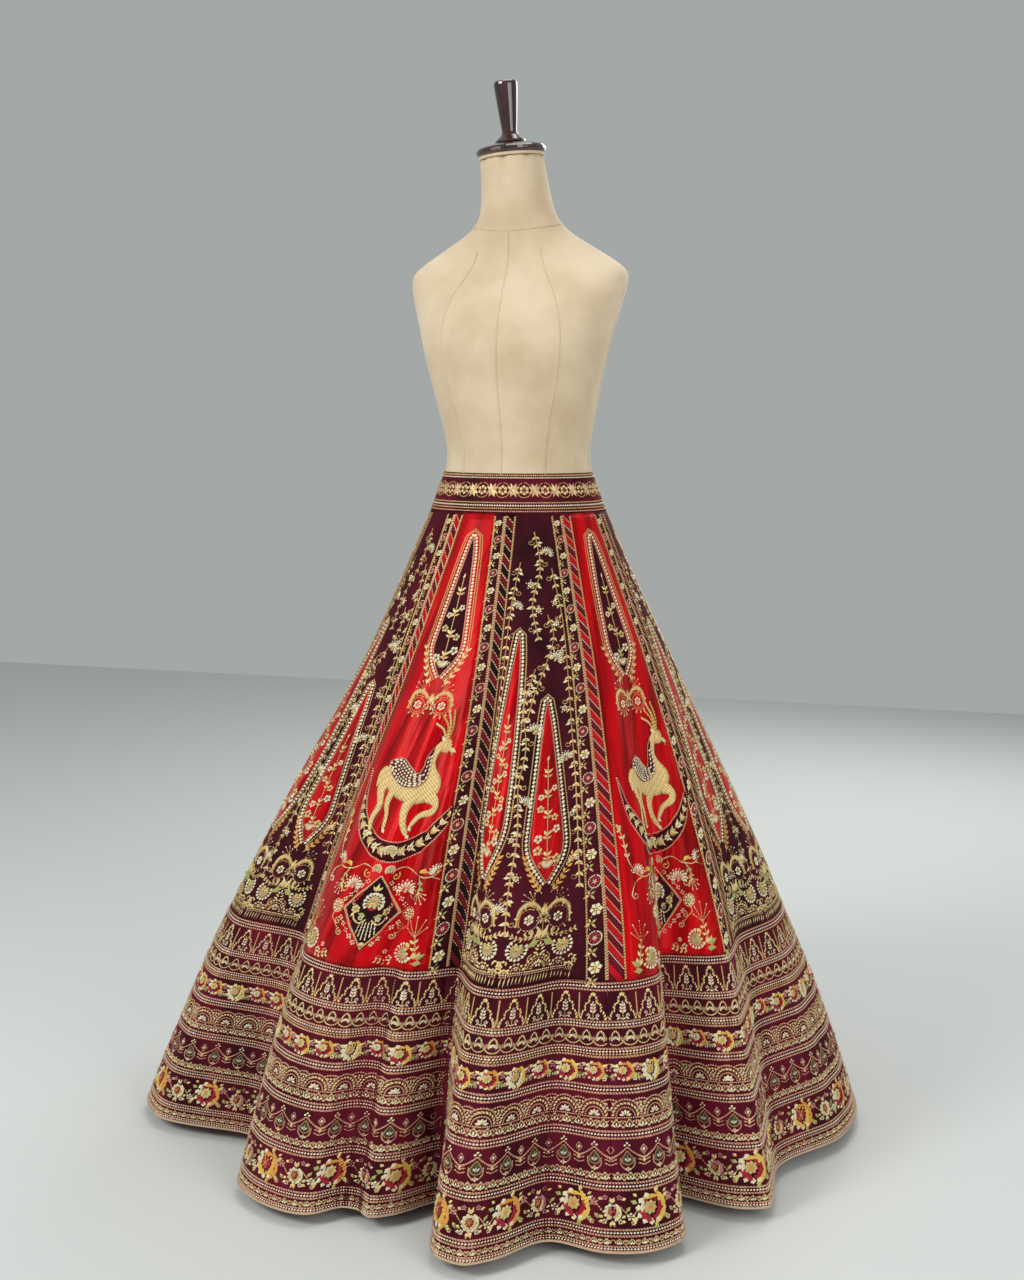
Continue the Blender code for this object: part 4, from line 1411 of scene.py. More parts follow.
CRESCENT_OUTER = ((-0.086, 0.44), (-0.082, 0.492), (-0.062, 0.538), (-0.03, 0.565), (0.004, 0.573),
                  (0.038, 0.562), (0.066, 0.534), (0.084, 0.494), (0.091, 0.452))
CRESCENT_INNER = ((-0.086, 0.44), (-0.073, 0.484), (-0.052, 0.517), (-0.026, 0.537), (0.004, 0.543),
                  (0.032, 0.534), (0.057, 0.511), (0.077, 0.482), (0.091, 0.452))
RED_DROP = (0.002, 0.04, 0.004, 0.268, 0.024)
DIAMOND = ((0.0, 0.594), (0.043, 0.648), (0.0, 0.704), (-0.043, 0.648))
DEER_PLACE = (0.013, 0.304)
DEER_SIZE = (0.94, 1.09)
FOOT_SHIFT = (0.013, -0.019)


def crescent_flowers():
    """Roses and buds along the crescent, largest at its middle."""
    middle = smooth((np.array(CRESCENT_OUTER) + np.array(CRESCENT_INNER)) / 2)
    metal, threads = [running(middle[len(middle) // 7: -len(middle) // 7], 0.0012, GOLD)], []
    places = list(zip(*along(middle[len(middle) // 8: -len(middle) // 8], 0.0142)))
    for number, (x, y, turn) in enumerate(places):
        size = 0.0034 + 0.0026 * math.sin(math.pi * (number + 0.5) / len(places))
        if number == len(places) // 2:
            threads.append(shell_flower(x, y - 0.001, math.degrees(turn) * 0.5, 0.0085))
        elif number % 2:
            threads.append(small_rose(x, y, size, STRAW, CREAM, GOLD))
        else:
            threads.append(blossom(x, y, size, CREAM, GOLD, 6))
        for side in (-1, 1):
            metal.append(leaf(x, y, turn + side * 0.9, size * 1.9, 0.003, STRAW))
    return sewn(*metal), sewn(*threads)


def diamond_basket():
    """The flower basket in the diamond: a lotus over swags, bars and bead drops."""
    half_threads = [
        blossom(0.023, 0.6475, 0.0068, STRAW, GREEN, 6),
        leaf(0.006, 0.656, -0.25, 0.013, 0.0056, GREEN),
        blossom(0.0125, 0.659, 0.0045, CREAM, GOLD),
    ]
    half_metal = [
        cord(smooth([(0.004, 0.661), (0.013, 0.667), (0.021, 0.663), (0.024, 0.656)]), 0.002, STRAW),
        leaf(0.0235, 0.652, 1.1, 0.0095, 0.0034, STRAW),
        curl(0.027, 0.64, 0.0042, 0, 0.8, 1, 0.0012, GOLD),
        leaf(0.0015, 0.617, -0.9, 0.008, 0.003, STRAW),
    ]
    for number in range(3):
        head, foot = (0.0022 + 0.0042 * number, 0.664), (0.003 + 0.0052 * number, 0.69 - 0.0045 * number)
        half_metal += [
            running(straight(head, foot), 0.0014, CREAM), stitches(
                *foot, 0, 0.0032, 0.0032, 0.0018, STRAW,
            ),
        ]
    threads = [
        shell_flower(0.0, 0.635, 0, 0.0145),
        petals(0.0, 0.635, 9, 0.012, 0.0165, 0.0042, CREAM, -110, 220),
        petals(0.0, 0.6395, 7, 0.001, 0.0085, 0.003, RED, 110, 140),
        leaf(0.0, 0.618, UP, 0.0125, 0.0046, STRAW),
        both_ways(sewn(*half_threads)),
        petals(0.0, 0.6945, 3, -0.001, 0.006, 0.0046, STRAW, 150, 60),
    ]
    corners = np.array(DIAMOND + DIAMOND[:1])
    metal = [
        both_ways(sewn(*half_metal)),
        beads(straight(*corners), 0.0032, ROSE_GOLD), beads(straight(*corners * (1.06, 1)), 0.0022, GOLD),
    ]
    return sewn(*metal), sewn(*threads)


def diamond_garland():
    """The chain of little flowers outside the diamond's sides, on the right half."""
    threads, metal = [], []
    for start, end in (((0.014, 0.6), (0.052, 0.64)), ((0.05, 0.66), (0.01, 0.7))):
        line = straight(start, end)
        for number, (x, y, _) in enumerate(zip(*along(line, 0.0108))):
            threads.append(blossom(x, y, 0.0042, SILVER if number % 2 else CREAM, RED, 4, 20 * number))
        metal.append(running(line, 0.001, GOLD))
    return sewn(*metal), sewn(*threads)


def red_side_spray():
    """The vines to the right of the diamond, with their carnations, curls and dotted stems."""
    tendrils = (
        # width of the cord, then its points
        (
            0.0017, (0.012, 0.586), (0.034, 0.58), (0.055, 0.59), (0.078, 0.59), (0.098, 0.566),
            (0.1, 0.53), (0.108, 0.5),
        ),
        (0.0016, (0.058, 0.59), (0.066, 0.606), (0.064, 0.622)),
        (0.0015, (0.078, 0.59), (0.094, 0.596), (0.102, 0.606)),
        (0.0015, (0.06, 0.655), (0.063, 0.665), (0.056, 0.672), (0.048, 0.68)),
    )
    curls = (
        # across, down, radius, start, turns, width, colour
        (0.0215, 0.5935, 0.0068, 30, 1.0, 0.0018, YELLOW), (
            0.056, 0.62, 0.0068, 70, 1.0, 0.0016, STRAW,
        ),
        (0.0985, 0.614, 0.0074, 20, 1.1, 0.0017, CREAM), (
            0.05, 0.67, 0.0055, 0, 1.1, 0.0015, STRAW,
        ),
        (0.042, 0.685, 0.006, 20, 1.2, 0.0016, STRAW),
    )
    garland_metal, garland_threads = diamond_garland()
    metal = [cord(smooth(points), width, STRAW) for width, *points in tendrils]
    metal += [curl(x, y, radius, start, turns, 1, *pen) for x, y, radius, start, turns, *pen in curls]
    metal += [
        leaf_pairs(smooth([(0.098, 0.566), (0.1, 0.53), (0.108, 0.5)]), 5, 0.0085, 0.0034, STRAW),
        leaf_pairs(smooth([(0.06, 0.594), (0.067, 0.612)]), 2, 0.008, 0.0032, GREEN),
        sprig(0.066, 0.615, 152, 0.019, STRAW, SILVER), garland_metal,
    ]
    threads = [
        leaf(0.056, 0.588, -0.75, 0.014, 0.006, YELLOW),
        leaf(0.061, 0.583, 0.1, 0.012, 0.0052, ORANGE),
        fan_flower(0.043, 0.616, 4, 0.015, CREAM, SILVER, ROSE_GOLD),
        fan_flower(0.0855, 0.583, -14, 0.0115, CREAM, SILVER, ROSE_GOLD),
        blossom(0.105, 0.515, 0.0066, STRAW, GREEN, 6),
        shell_flower(0.01, 0.585, 0, 0.0072),
        small_rose(0.0585, 0.648, 0.0095, CREAM, GREEN, STRAW), garland_threads,
    ]
    return sewn(*metal), sewn(*threads)


def red_corner_spray():
    """The spray in the panel's right foot corner: a shell flower, green leaves and dotted stems."""
    metal = [
        sprig(0.093, 0.662, -6, 0.03, GOLD, SILVER),
        cord(smooth([(0.11, 0.702), (0.1, 0.684), (0.093, 0.66)]), 0.0016, GOLD),
        leaf_pairs(smooth([(0.108, 0.698), (0.1, 0.684), (0.094, 0.668)]), 3, 0.009, 0.0036, STRAW),
        leaf_pairs(smooth([(0.068, 0.704), (0.056, 0.706), (0.04, 0.702)]), 4, 0.0075, 0.0032, STRAW),
        curl(0.044, 0.699, 0.0058, 180, 1.0, -1, 0.0014, GOLD),
    ]
    threads = [
        shell_flower(0.082, 0.688, -115, 0.015),
        leaf(0.102, 0.696, -0.55, 0.0165, 0.008, GREEN),
        leaf(0.098, 0.702, 0.0, 0.0175, 0.0078, GREEN),
        leaf(0.102, 0.696, -2.0, 0.013, 0.0062, STRAW),
        blossom(0.06, 0.7, 0.0054, CREAM, WINE),
        blossom(0.052, 0.69, 0.004, CREAM, GOLD),
        leaf(0.09, 0.68, -2.2, 0.011, 0.0048, YELLOW),
    ]
    return sewn(*metal), sewn(*threads)


def red_panel_design():
    """All the embroidery on a red panel, drawn about the panel's upright middle line."""
    left, right = drop_sides(*RED_DROP)
    rim = beside(smooth(np.vstack([left[::-1], right[1:]]), 0.002), -0.0135)
    spray = smooth([(0.01, 0.284), (0.026, 0.258), (0.038, 0.222)])
    tree, arches, animal = inner_tree(
        0.003, 0.11, 0.004, 0.248, 0.02, 4,
    ), fountain(0.002, 0.31, 0.038, False), deer()
    roses, basket = (
        [raised(part, PATCH_SWELL) for part in design()] for design in (crescent_flowers, diamond_basket)
    )
    sprays, corner = (
        [both_ways(part) for part in design()] for design in (red_side_spray, red_corner_spray)
    )
    edges = [
        beads(smooth(line), size, ROSE_GOLD, height=0.0024)
        for line, size in ((CRESCENT_OUTER, 0.0034), (CRESCENT_INNER, 0.0032))
    ]
    metal = [
        drop_rims(left, right, 0.0058), cord(rim, 0.0013, GOLD), raised(tree[0], PATCH_SWELL),
        moved(both_ways(leaf_pairs(spray, 6, 0.0105, 0.0038, STRAW, 0.5)), 0.003),
        moved(both_ways(running(spray, 0.0012, GOLD)), 0.003),
        arches[0], animal[0], moved(sewn(roses[0], basket[0], sprays[0], *edges), *FOOT_SHIFT), corner[0],
    ]
    threads = [
        raised(tree[1], PATCH_SWELL), arches[1], animal[1],
        moved(sewn(roses[1], basket[1], sprays[1]), *FOOT_SHIFT), corner[1],
    ]
    return sewn(*metal), sewn(*threads)


def crescent_lines(count=44):
    """The crescent's outer and inner edge, both from left to right, level with each other."""
    lines = []
    for edge in (CRESCENT_OUTER, CRESCENT_INNER):
        path = smooth(edge)
        share, run = np.linspace(0.0, 1.0, count), np.linspace(0.0, 1.0, len(path))
        lines.append(sampled(path, run, share))
    return lines


def diamond_lines(count=13):
    top, right, bottom, left = (np.array(corner) for corner in DIAMOND)
    share = np.linspace(0.0, 1.0, count)
    down = top[1] + share * (bottom[1] - top[1])
    reach = right[0] * (1 - np.abs(2 * share - 1))
    return np.column_stack([-reach, down]), np.column_stack([reach, down])


# The border gore: velvet covered in bands that run level round the hem. From the top: cusped
# arches with trees, small pointed arches, a row of little roses, roped scallops over zigzags,
# points with green drops, and large roses, each band closed by lines of beads. A beige cord is
# sewn along the edge.

ROW = BORDER_LENGTH / 35.0


def border_width(down):
    return float(width_at(KALI_WIDTHS, UPPER_LENGTH + down))


def bead_band(top, bottom, bright=SILVER):
    """Three or four rows of beads between two rose-gold cords."""
    rows = []
    height = bottom - top
    count = max(int(height / 0.0036), 3)
    for number in range(count):
        y = top + (number + 0.5) * height / count
        outside = number in (0, count - 1)
        length = border_width(y)
        line = straight((0.0, y), (length, y))
        if outside:
            rows.append(cord(line, 0.0026, ROSE_GOLD))
        else:
            rows.append(beads(line, 0.0037, bright if number % 2 else GOLD, 0.0046))
    return sewn(*rows)


def repeats(top, bottom, pitch):
    """The middles, the width and the height of a band's repeats, even between the side seams. One
    more repeat stands left of the seam, for what reaches over it."""
    length = border_width((top + bottom) / 2)
    count = max(int(round(length / pitch)), 1)
    return (np.arange(-1, count) + 0.5) * length / count, length / count, bottom - top


def repeated(motif, middles, top):
    """A band's motif at each of its places."""
    return sewn(*[moved(motif, x, top) for x in middles])


def arch_band(top, bottom):
    """Cusped arches on posts, each over a white-leaved tree with curls."""
    middles, width, height = repeats(top, bottom, 0.039)
    half = width / 2
    cusps = stretched((
        (0.0, 0.08), (0.18, 0.13), (0.27, 0.25), (0.25, 0.36), (0.44, 0.39), (0.56, 0.51), (0.55, 0.64),
        (0.71, 0.72), (0.8, 0.84), (0.86, 1.0),
    ), half, height)
    mound = stretched(((0.0, 0.98), (0.2, 0.93), (0.4, 0.98)), half, height)
    side = [
        cord(cusps, 0.0026, STRAW),
        curl(0.36 * half, 0.84 * height, 0.16 * half, 180, 0.9, 1, 0.0013, CREAM),
        running(mound, 0.0013, CREAM),
        cord(straight((half, 0.02 * height), (half, 0.66 * height), (0.9 * half, height)), 0.0017, GOLD),
    ]
    leaves = [leaf(0.0, 0.44 * height, UP, 0.16 * height, 0.0028, CREAM)]
    for share in (0.5, 0.62, 0.74):
        leaves.append(leaf(0.0004, share * height, -0.85, (0.08 + 0.12 * share) * height, 0.0027, SILVER))
    metal = sewn(
        both_ways(sewn(*side)),
        cord(straight((0.0, 0.98 * height), (0.0, 0.4 * height)), 0.0013, GOLD),
        petals(0.0, 0.1 * height, 3, -0.001, 0.0052, 0.0034, STRAW, -50, 100),
    )
    return repeated(metal, middles, top), repeated(both_ways(sewn(*leaves)), middles, top)


def small_arch_band(top, bottom):
    """Small pointed arches with a fleurette in each, over a scalloped line and short bars."""
    middles, width, height = repeats(top, bottom, 0.0198)
    half = width / 2
    side = stretched(((0.0, 0.04), (0.34, 0.18), (0.52, 0.4), (0.48, 0.66)), half, height)
    bars = np.array([0.78, 1.0]) * half
    arch = sewn(
        both_ways(cord(side, 0.0021, STRAW)),
        cord(arc(0.0, 0.56 * height, half, 90, 270, 0.34 * height / half), 0.0016, STRAW),
        both_ways(stitches(bars, 0.5 * height, DOWN, 0.34 * height, 0.0022, 0.0012, ROSE_GOLD)),
    )
    flower = petals(0.0, 0.58 * height, 5, 0.0005, 0.26 * height, 0.0022, CREAM, -70, 140)
    return repeated(arch, middles, top), repeated(flower, middles, top)


def crescent(radius, inner, start, sweep, colour, height):
    """A petal seen from its side: three rows of long stitches along part of a round, which fill
    its middle and close at its ends."""
    rows = []
    for row in range(3):
        trim = (0.0, 0.1, 0.26)[row] * sweep
        reach = radius - (row + 0.5) * (radius - inner) / 3
        line = arc(0.0, 0.0, reach, start + trim, start + sweep - trim)
        length = 0.46 * radius
        x, y, turn = along(line, 0.42 * length)
        rows.append(stitches(x, y, turn, length, 1.9 * (radius - inner) / 3, height, colour))
    return sewn(*rows)


def full_rose(radius, outer, middle, heart):
    """A rose in bloom, leaning a little: folded petals round a wound bud, light on the left and
    deeper on the right."""
    bud = (-radius * 0.08, -radius * 0.06)
    return sewn(
        raised(petals(0.0, 0.0, 11, 0.0, radius * 0.95, radius * 0.58, middle), -0.0015),
        petals(0.0, 0.0, 7, radius * 0.55, radius * 1.12, radius * 0.44, CREAM, 150, 190),
        crescent(radius * 1.06, radius * 0.66, 25, 75, outer, 0.0013),
        crescent(radius * 1.1, radius * 0.7, 95, 70, outer, 0.0013),
        crescent(radius * 0.86, radius * 0.62, 320, 75, outer, 0.0016),
        raised(crescent(radius * 0.84, radius * 0.54, 180, 85, middle, 0.0017), 0.0006),
        crescent(radius * 0.74, radius * 0.5, 250, 65, CREAM, 0.0018),
        raised(crescent(radius * 0.74, radius * 0.48, 60, 105, middle, 0.0018), 0.0006),
        raised(petals(*bud, 8, 0.0, radius * 0.5, radius * 0.3, heart, 10), 0.0004),
        raised(petals(*bud, 6, radius * 0.1, radius * 0.42, radius * 0.12, GREEN, 40), 0.0012),
        raised(petals(*bud, 4, 0.0, radius * 0.15, radius * 0.13, ORANGE, 20), 0.0014),
    )


def little_rose_band(top, bottom):
    """Little yellow, cream and red roses with leaves, and pink blossoms on stems between them."""
    middles, width, height = repeats(top, bottom, 0.041)
    y = top + 0.52 * height
    kinds = (
        (YELLOW, RED, STRAW), (ORANGE, RED, STRAW), (YELLOW, CREAM, GOLD),
        (ORANGE, RED, CREAM),
    )
    sprays = (
        # across, down, radius, colour, heart
        (
            0.0, -0.16, 0.17, PINK, CREAM,
        ), (-0.14, 0.28, 0.11, CREAM, RED), (0.14, 0.26, 0.11, PINK, GOLD),
    )
    stem = stretched(((-0.14, 0.28), (0.0, 0.1), (0.14, 0.26)), width, height)
    metal, threads = [], []
    for number, x in enumerate(middles):
        outer, middle, heart = kinds[number % len(kinds)]
        radius = (0.4 if number % 2 else 0.46) * height
        rose_y = y + 0.04 * height * (-1) ** number
        threads.append(moved(full_rose(radius, outer, middle, heart), x, rose_y))
        for spread in (0.35, 2.75, -0.45, -2.65):
            foot = (x + radius * 0.8 * math.cos(spread), rose_y + radius * 0.8 * math.sin(spread))
            metal.append(
                leaf(*foot, spread, 0.36 * height, 0.0042, GREEN if spread > 0 else STRAW),
            )
        gap = x + width / 2
        for across, down, size, colour, centre in sprays:
            threads.append(blossom(gap + across * width, y + down * height, size * height, colour, centre))
        metal += [
            running(stem + (gap, y), 0.0012, GOLD),
            leaf(gap, y + 0.14 * height, DOWN, 0.26 * height, 0.003, GREEN),
        ]
    return sewn(*metal), sewn(*threads)


def scallop_band(top, bottom):
    """Roped scallops that overlap by half, with a fleurette where two cross."""
    middles, width, height = repeats(top, bottom, 0.0445)

    def rope(pen, reach, rise, spread, size, colour):
        """A scallop's rope, as far as an angle either side of its crown."""
        reach *= width
        return pen(arc(0.0, height * 0.98, reach, -spread, spread, rise * height / reach), size, colour)

    lower = sewn(
        rope(beads, 0.5, 0.92, 90, 0.0034, ROSE_GOLD), rope(cord, 0.4, 0.72, 90, 0.003, STRAW),
        rope(beads, 0.3, 0.5, 90, 0.0026, ROSE_GOLD),
        beads(straight((-0.5 * width, height * 1.04), (0.5 * width, height * 1.04)), 0.0028, ROSE_GOLD),
    )
    behind = sewn(
        rope(beads, 0.5, 0.92, 31, 0.0034, ROSE_GOLD), rope(cord, 0.4, 0.72, 24, 0.0026, STRAW),
    )
    heart = petals(0.0, height * 0.92, 5, 0.0, height * 0.36, 0.0036, CREAM, -80, 160)
    star = petals(0.0, height * 0.52, 4, 0.0006, height * 0.19, 0.0034, CREAM)
    return (
        repeated(sewn(lower, moved(behind, width / 2)), middles, top),
        repeated(sewn(heart, moved(star, width / 2)), middles, top),
    )


def fanned(rows, level):
    """A band's stitches, spread with the gore: upright in its middle and along its seams at its
    sides. They are drawn square at the level given."""
    rows = rows.copy()
    width = width_at(KALI_WIDTHS, UPPER_LENGTH + rows[:, 1])
    growth = (KALI_WIDTHS[2][1] - KALI_WIDTHS[1][1]) / BORDER_LENGTH
    lean = growth * rows[:, 0] / width
    rows[:, 0] *= width / border_width(level)
    rows[:, 2] = np.arctan2(np.sin(rows[:, 2]), np.cos(rows[:, 2]) + lean * np.sin(rows[:, 2]))
    return rows


def clipped(rows):
    """Stitches of a band that lie between the gore's side seams."""
    edge = 0.0012
    length = width_at(KALI_WIDTHS, UPPER_LENGTH + rows[:, 1])
    return rows[(rows[:, 0] > edge) & (rows[:, 0] < length - edge)]


def zigzag_band(top, bottom, pitch=0.0175):
    """A zigzag cord with a fleurette in each angle."""
    middles, width, height = repeats(top, bottom, pitch)
    tooth = both_ways(cord(straight((0.0, 0.06 * height), (0.5 * width, 0.94 * height)), 0.0017, STRAW))
    flower = sewn(
        petals(0.0, 0.92 * height, 3, 0.0, 0.6 * height, 0.003, CREAM, -52, 104),
        petals(0.5 * width, 0.12 * height, 3, 0.0, 0.52 * height, 0.0026, ROSE_GOLD, 128, 104),
    )
    return repeated(tooth, middles, top), repeated(flower, middles, top)


def point_band(top, bottom):
    """Tall points edged in beads over green drops, with small diamonds between them."""
    middles, width, height = repeats(top, bottom, 0.0465)
    slope = stretched(((0.0, 0.2), (0.14, 0.34), (0.3, 0.47), (0.5, 0.62)), width, height)
    outline = stretched(((0.21, 0.56), (0.2, 0.8), (0.06, 0.95), (0.0, 0.86)), width, height)
    drop_edge = stretched(
        ((0.0, 0.33), (0.09, 0.46), (0.17, 0.62), (0.13, 0.74), (0.0, 0.8)), width, height,
    )
    lozenge = straight((0.0, -0.0062), (0.0046, 0.0), (0.0, 0.0062), (-0.0046, 0.0), (0.0, -0.0062))
    point = [
        both_ways(beads(slope, 0.003, ROSE_GOLD)),
        both_ways(cord(outline, 0.0016, ROSE_GOLD)),
        petals(0.0, 0.14 * height, 3, 0.0006, 0.0052, 0.0034, CREAM, -90, 180),
        moved(beads(lozenge, 0.0022, ROSE_GOLD), 0.5 * width, 0.3 * height),
        leaf(0.5 * width, 0.52 * height, DOWN, 0.24 * height, 0.003, STRAW),
    ]
    for side in (-1, 1):
        for step in (0.0, 0.13, 0.26):
            rib = np.array([(0.5 * side, 0.56 + step), (0.32 * side, 0.48 + step)]) * (width, height)
            point.append(running(straight(*rib), 0.0016, ROSE_GOLD))
    point.append(both_ways(beads(drop_edge, 0.0022, OLD_GOLD)))
    drops = sewn(
        stitches(0.0, 0.56 * height, DOWN, 0.46 * height, 0.015, 0.0016, DROP_GREEN, 0.64),
        both_ways(
            stitches(0.0042, 0.62 * height, DOWN - 0.35, 0.26 * height, 0.0085, 0.0015, DROP_GREEN, 0.6),
        ),
        raised(petals(0.0, 0.69 * height, 3, 0.0, 0.0064, 0.0021, SILVER, -42, 84), 0.0011),
        stitches(0.0, 0.56 * height, DOWN, 0.3 * height, 0.0016, 0.003, GREEN),
        stitches(0.5 * width, 0.3 * height, DOWN, 0.0068, 0.0052, 0.0022, SILVER),
        petals(0.0, 0.9 * height, 3, 0.0, 0.0055, 0.0026, CREAM, 120, 120),
    )
    return repeated(sewn(*point), middles, top), repeated(drops, middles, top)


def great_rose_band(top, bottom):
    """Large shaded roses with leaves and buds, and a middling flower between each pair."""
    middles, width, height = repeats(top, bottom, 0.0985)
    y = top + 0.5 * height
    low = y + 0.06 * height
    kinds = ((ORANGE, RED, STRAW), (YELLOW, RED, GOLD), (ORANGE, YELLOW, RED))
    buds = ((0.4, 0.34, CREAM), (0.41, -0.36, PINK), (0.24, 0.38, STRAW))
    leaves = (
        (0.33, 0.16, 0.5), (0.33, 0.36, -0.3), (0.18, -0.38, -0.6), (0.2, 0.3, 0.9), (0.32, -0.34, 0.3),
    )
    metal, threads = [], []
    for number, x in enumerate(middles):
        outer, middle, heart = kinds[number % len(kinds)]
        threads.append(moved(full_rose(0.46 * height, outer, middle, heart), x, y))
        for degrees in (35, 75, 150, 205, 290, 330):
            angle = math.radians(degrees)
            at = (x + 0.46 * height * math.cos(angle), y + 0.42 * height * math.sin(angle))
            colour = GREEN if degrees % 2 else STRAW
            metal.append(leaf(*at, angle * 0.98, 0.26 * height, 0.006, colour))
        for side, colour in ((-1, CREAM), (1, PINK)):
            spot = x + side * 0.27 * width
            stem = stretched(((0.18, 0.0), (0.27, -0.2), (0.4, 0.1)), side * width, side * height) + (x, y)
            threads.append(blossom(spot, y - side * 0.2 * height, 0.13 * height, colour, GOLD))
            metal += [
                running(stem, 0.0014, GOLD, 0.0045),
                leaf(spot, y + side * 0.1 * height, DOWN - side * 0.7, 0.24 * height, 0.0048, GREEN),
            ]
        between, colour = x + width / 2, PINK if number % 2 else CREAM
        threads.append(moved(full_rose(0.25 * height, colour, STRAW, RED), between, low))
        for lean in (-1.9, -1.25, 1.25, 1.9):
            foot = low + math.copysign(0.24 * height, lean)
            metal.append(leaf(between, foot, lean, 0.22 * height, 0.0044, STRAW))
        for side in (-1, 1):
            for across, level, colour in buds:
                at = (x + side * across * width, y + level * height)
                threads.append(blossom(*at, 0.085 * height, colour, RED))
            for across, level, lean in leaves:
                at = (x + side * across * width, y + level * height)
                metal.append(
                    leaf(*at, lean if side > 0 else math.pi - lean, 0.17 * height, 0.0042, STRAW),
                )
    return sewn(*metal), sewn(*threads)


def border_design():
    """All the bands, from the top of the border gore down."""
    metal, threads = [], []
    for top, bottom in (
        (0.0, 1.4), (5.1, 6.3), (8.6, 10.1), (13.4, 14.8), (19.2, 20.6), (25.8, 27.2), (31.8, 33.1),
        (34.0, 35.0),
    ):
        metal.append(bead_band(top * ROW + 0.0004, bottom * ROW - 0.0004))
    bands = (
        (arch_band, 1.5, 5.1), (small_arch_band, 6.4, 8.6), (little_rose_band, 10.2, 13.3),
        (scallop_band, 15.2, 17.6),
        (zigzag_band, 17.8, 19.1), (point_band, 20.7, 24.5), (zigzag_band, 24.6, 25.8),
        (great_rose_band, 27.3, 31.7),
        (zigzag_band, 33.15, 34.0),
    )
    for band, top, bottom in bands:
        for part, rows in zip((metal, threads), band(top * ROW, bottom * ROW)):
            part.append(clipped(fanned(rows, 0.5 * (top + bottom) * ROW)))
    return sewn(*metal), sewn(*threads)


# Putting the kalis together. Every second kali is red, beginning with the one right of the front;
# each gets its cloths, its strips, its patches and its embroidery, and hangs from the waistband.


def kali_place(kali, left, right, top, bottom):
    """Place functions for a cloth between two edges and two levels: hung, and flat."""

    def flat_place(u, v):
        down = top + SEAM_GAP / 2 + v * (bottom - top - SEAM_GAP)
        start, end = left(down) + SEAM_GAP / 2, right(down) - SEAM_GAP / 2
        return start + u * (end - start), down

    def place(u, v, out):
        return hang(kali, *flat_place(u, v), out)

    return place, flat_place


def flat_area(left, right, top, bottom):
    down = np.linspace(top, bottom, 100)
    return float(np.mean(right(down) - left(down)) * (bottom - top))


def fitted(rows, left, right):
    """Stitches that lie inside a cloth's side edges."""
    inset = 0.003
    return rows[(rows[:, 0] > left(rows[:, 1]) + inset) & (rows[:, 0] < right(rows[:, 1]) - inset)]


def about_the_middle(rows):
    """A panel's design, carried from its own middle line to its place across the kali."""
    rows = rows.copy()
    rows[:, 0] += panel_middle(rows[:, 1])
    return rows


PANEL_CLOTHS = (red_satin, dark_velvet)
PANEL_DESIGNS = [
    [fitted(about_the_middle(rows), stripe_edge, flower_edge) for rows in design()]
    for design in (red_panel_design, maroon_panel_design)
]
STRIPE_ROWS = (stripe_strip_rows(True), stripe_strip_rows(False))
FLOWER_ROWS = flower_strip_rows()
BORDER_ROWS = [rows + np.array([0.0, UPPER_LENGTH] + [0.0] * 9) for rows in border_design()]


def patch_lines(lines, shift=(0.0, 0.0)):
    """Both edges of a patch, carried from the panel's middle line to their place on the kali."""
    lines = [line + shift for line in lines]
    return [line + np.column_stack([panel_middle(line[:, 1]), np.zeros(len(line))]) for line in lines]


RED_PATCHES = (
    (*patch_lines(drop_sides(*RED_DROP)), 6),
    (*patch_lines(crescent_lines(), FOOT_SHIFT), 4),
    (*patch_lines(diamond_lines(), FOOT_SHIFT), 8),
)
MAROON_PATCHES = (
    (*patch_lines(drop_sides(*TALL_DROP)), 6),
    (*patch_lines(drop_sides(*SHORT_DROP)), 6),
)
DEER_PATCHES = [(*patch_lines(ribbon_sides(*part)), 5) for part in DEER_BODY]
SADDLE_PATCH = [(*patch_lines(ribbon_sides(*DEER_SADDLE, 50)), 6)]
PATCHES = (RED_PATCHES, MAROON_PATCHES)


def satin_stitch_finish(name, light, dark, pitch):
    """Close slanting silk stitches over a pad, in even rows, with painted shade in the darker line between
    stitches, where the relief sinks.
    """
    finish, shade, add = new_finish(name, light, 0.42)
    flat = add("ShaderNodeUVMap", {"uv_map": "cut"}).outputs["UV"]
    turned = add("ShaderNodeMapping", Vector=flat, Rotation=(0.0, 0.0, 0.9)).outputs["Vector"]
    rows, ends = (
        add(
            "ShaderNodeTexWave", {"bands_direction": way}, Vector=turned, Scale=0.314 / wide, Distortion=bend,
            Detail_Scale=fine,
        )
        for way, wide, bend, fine in (("X", pitch, 1.2, 3.0), ("Y", 2.4 * pitch, 2.0, 1.0))
    )
    mixed = (ends.outputs["Fac"], 0.35, rows.outputs["Fac"])
    height = add("ShaderNodeMath", {"operation": "MULTIPLY_ADD"}, mixed).outputs["Value"]
    relief = add("ShaderNodeBump", Strength=0.8, Distance=0.0011, Height=height).outputs["Normal"]
    # Painted shade: the colour goes to the dark one in the grooves between stitches.
    colour = graded(add, height, ((0.10, dark), (0.55, light)))
    shade(Base_Color=colour, Normal=relief, Specular_IOR_Level=0.22)
    return finish


# The second colour of each is painted shade for the grooves between stitches.
deer_silk = satin_stitch_finish("pale_gold_satin_stitch", (0.84, 0.62, 0.27), (0.46, 0.27, 0.09), 0.0036)
saddle_silk = satin_stitch_finish("wine_satin_stitch", (0.120, 0.005, 0.012), (0.045, 0.002, 0.005), 0.0030)
KALI_WIDE, UPPER_EXTENT = KALI_WIDTHS[-1][1], (KALI_WIDTHS[-1][1], SLANT)


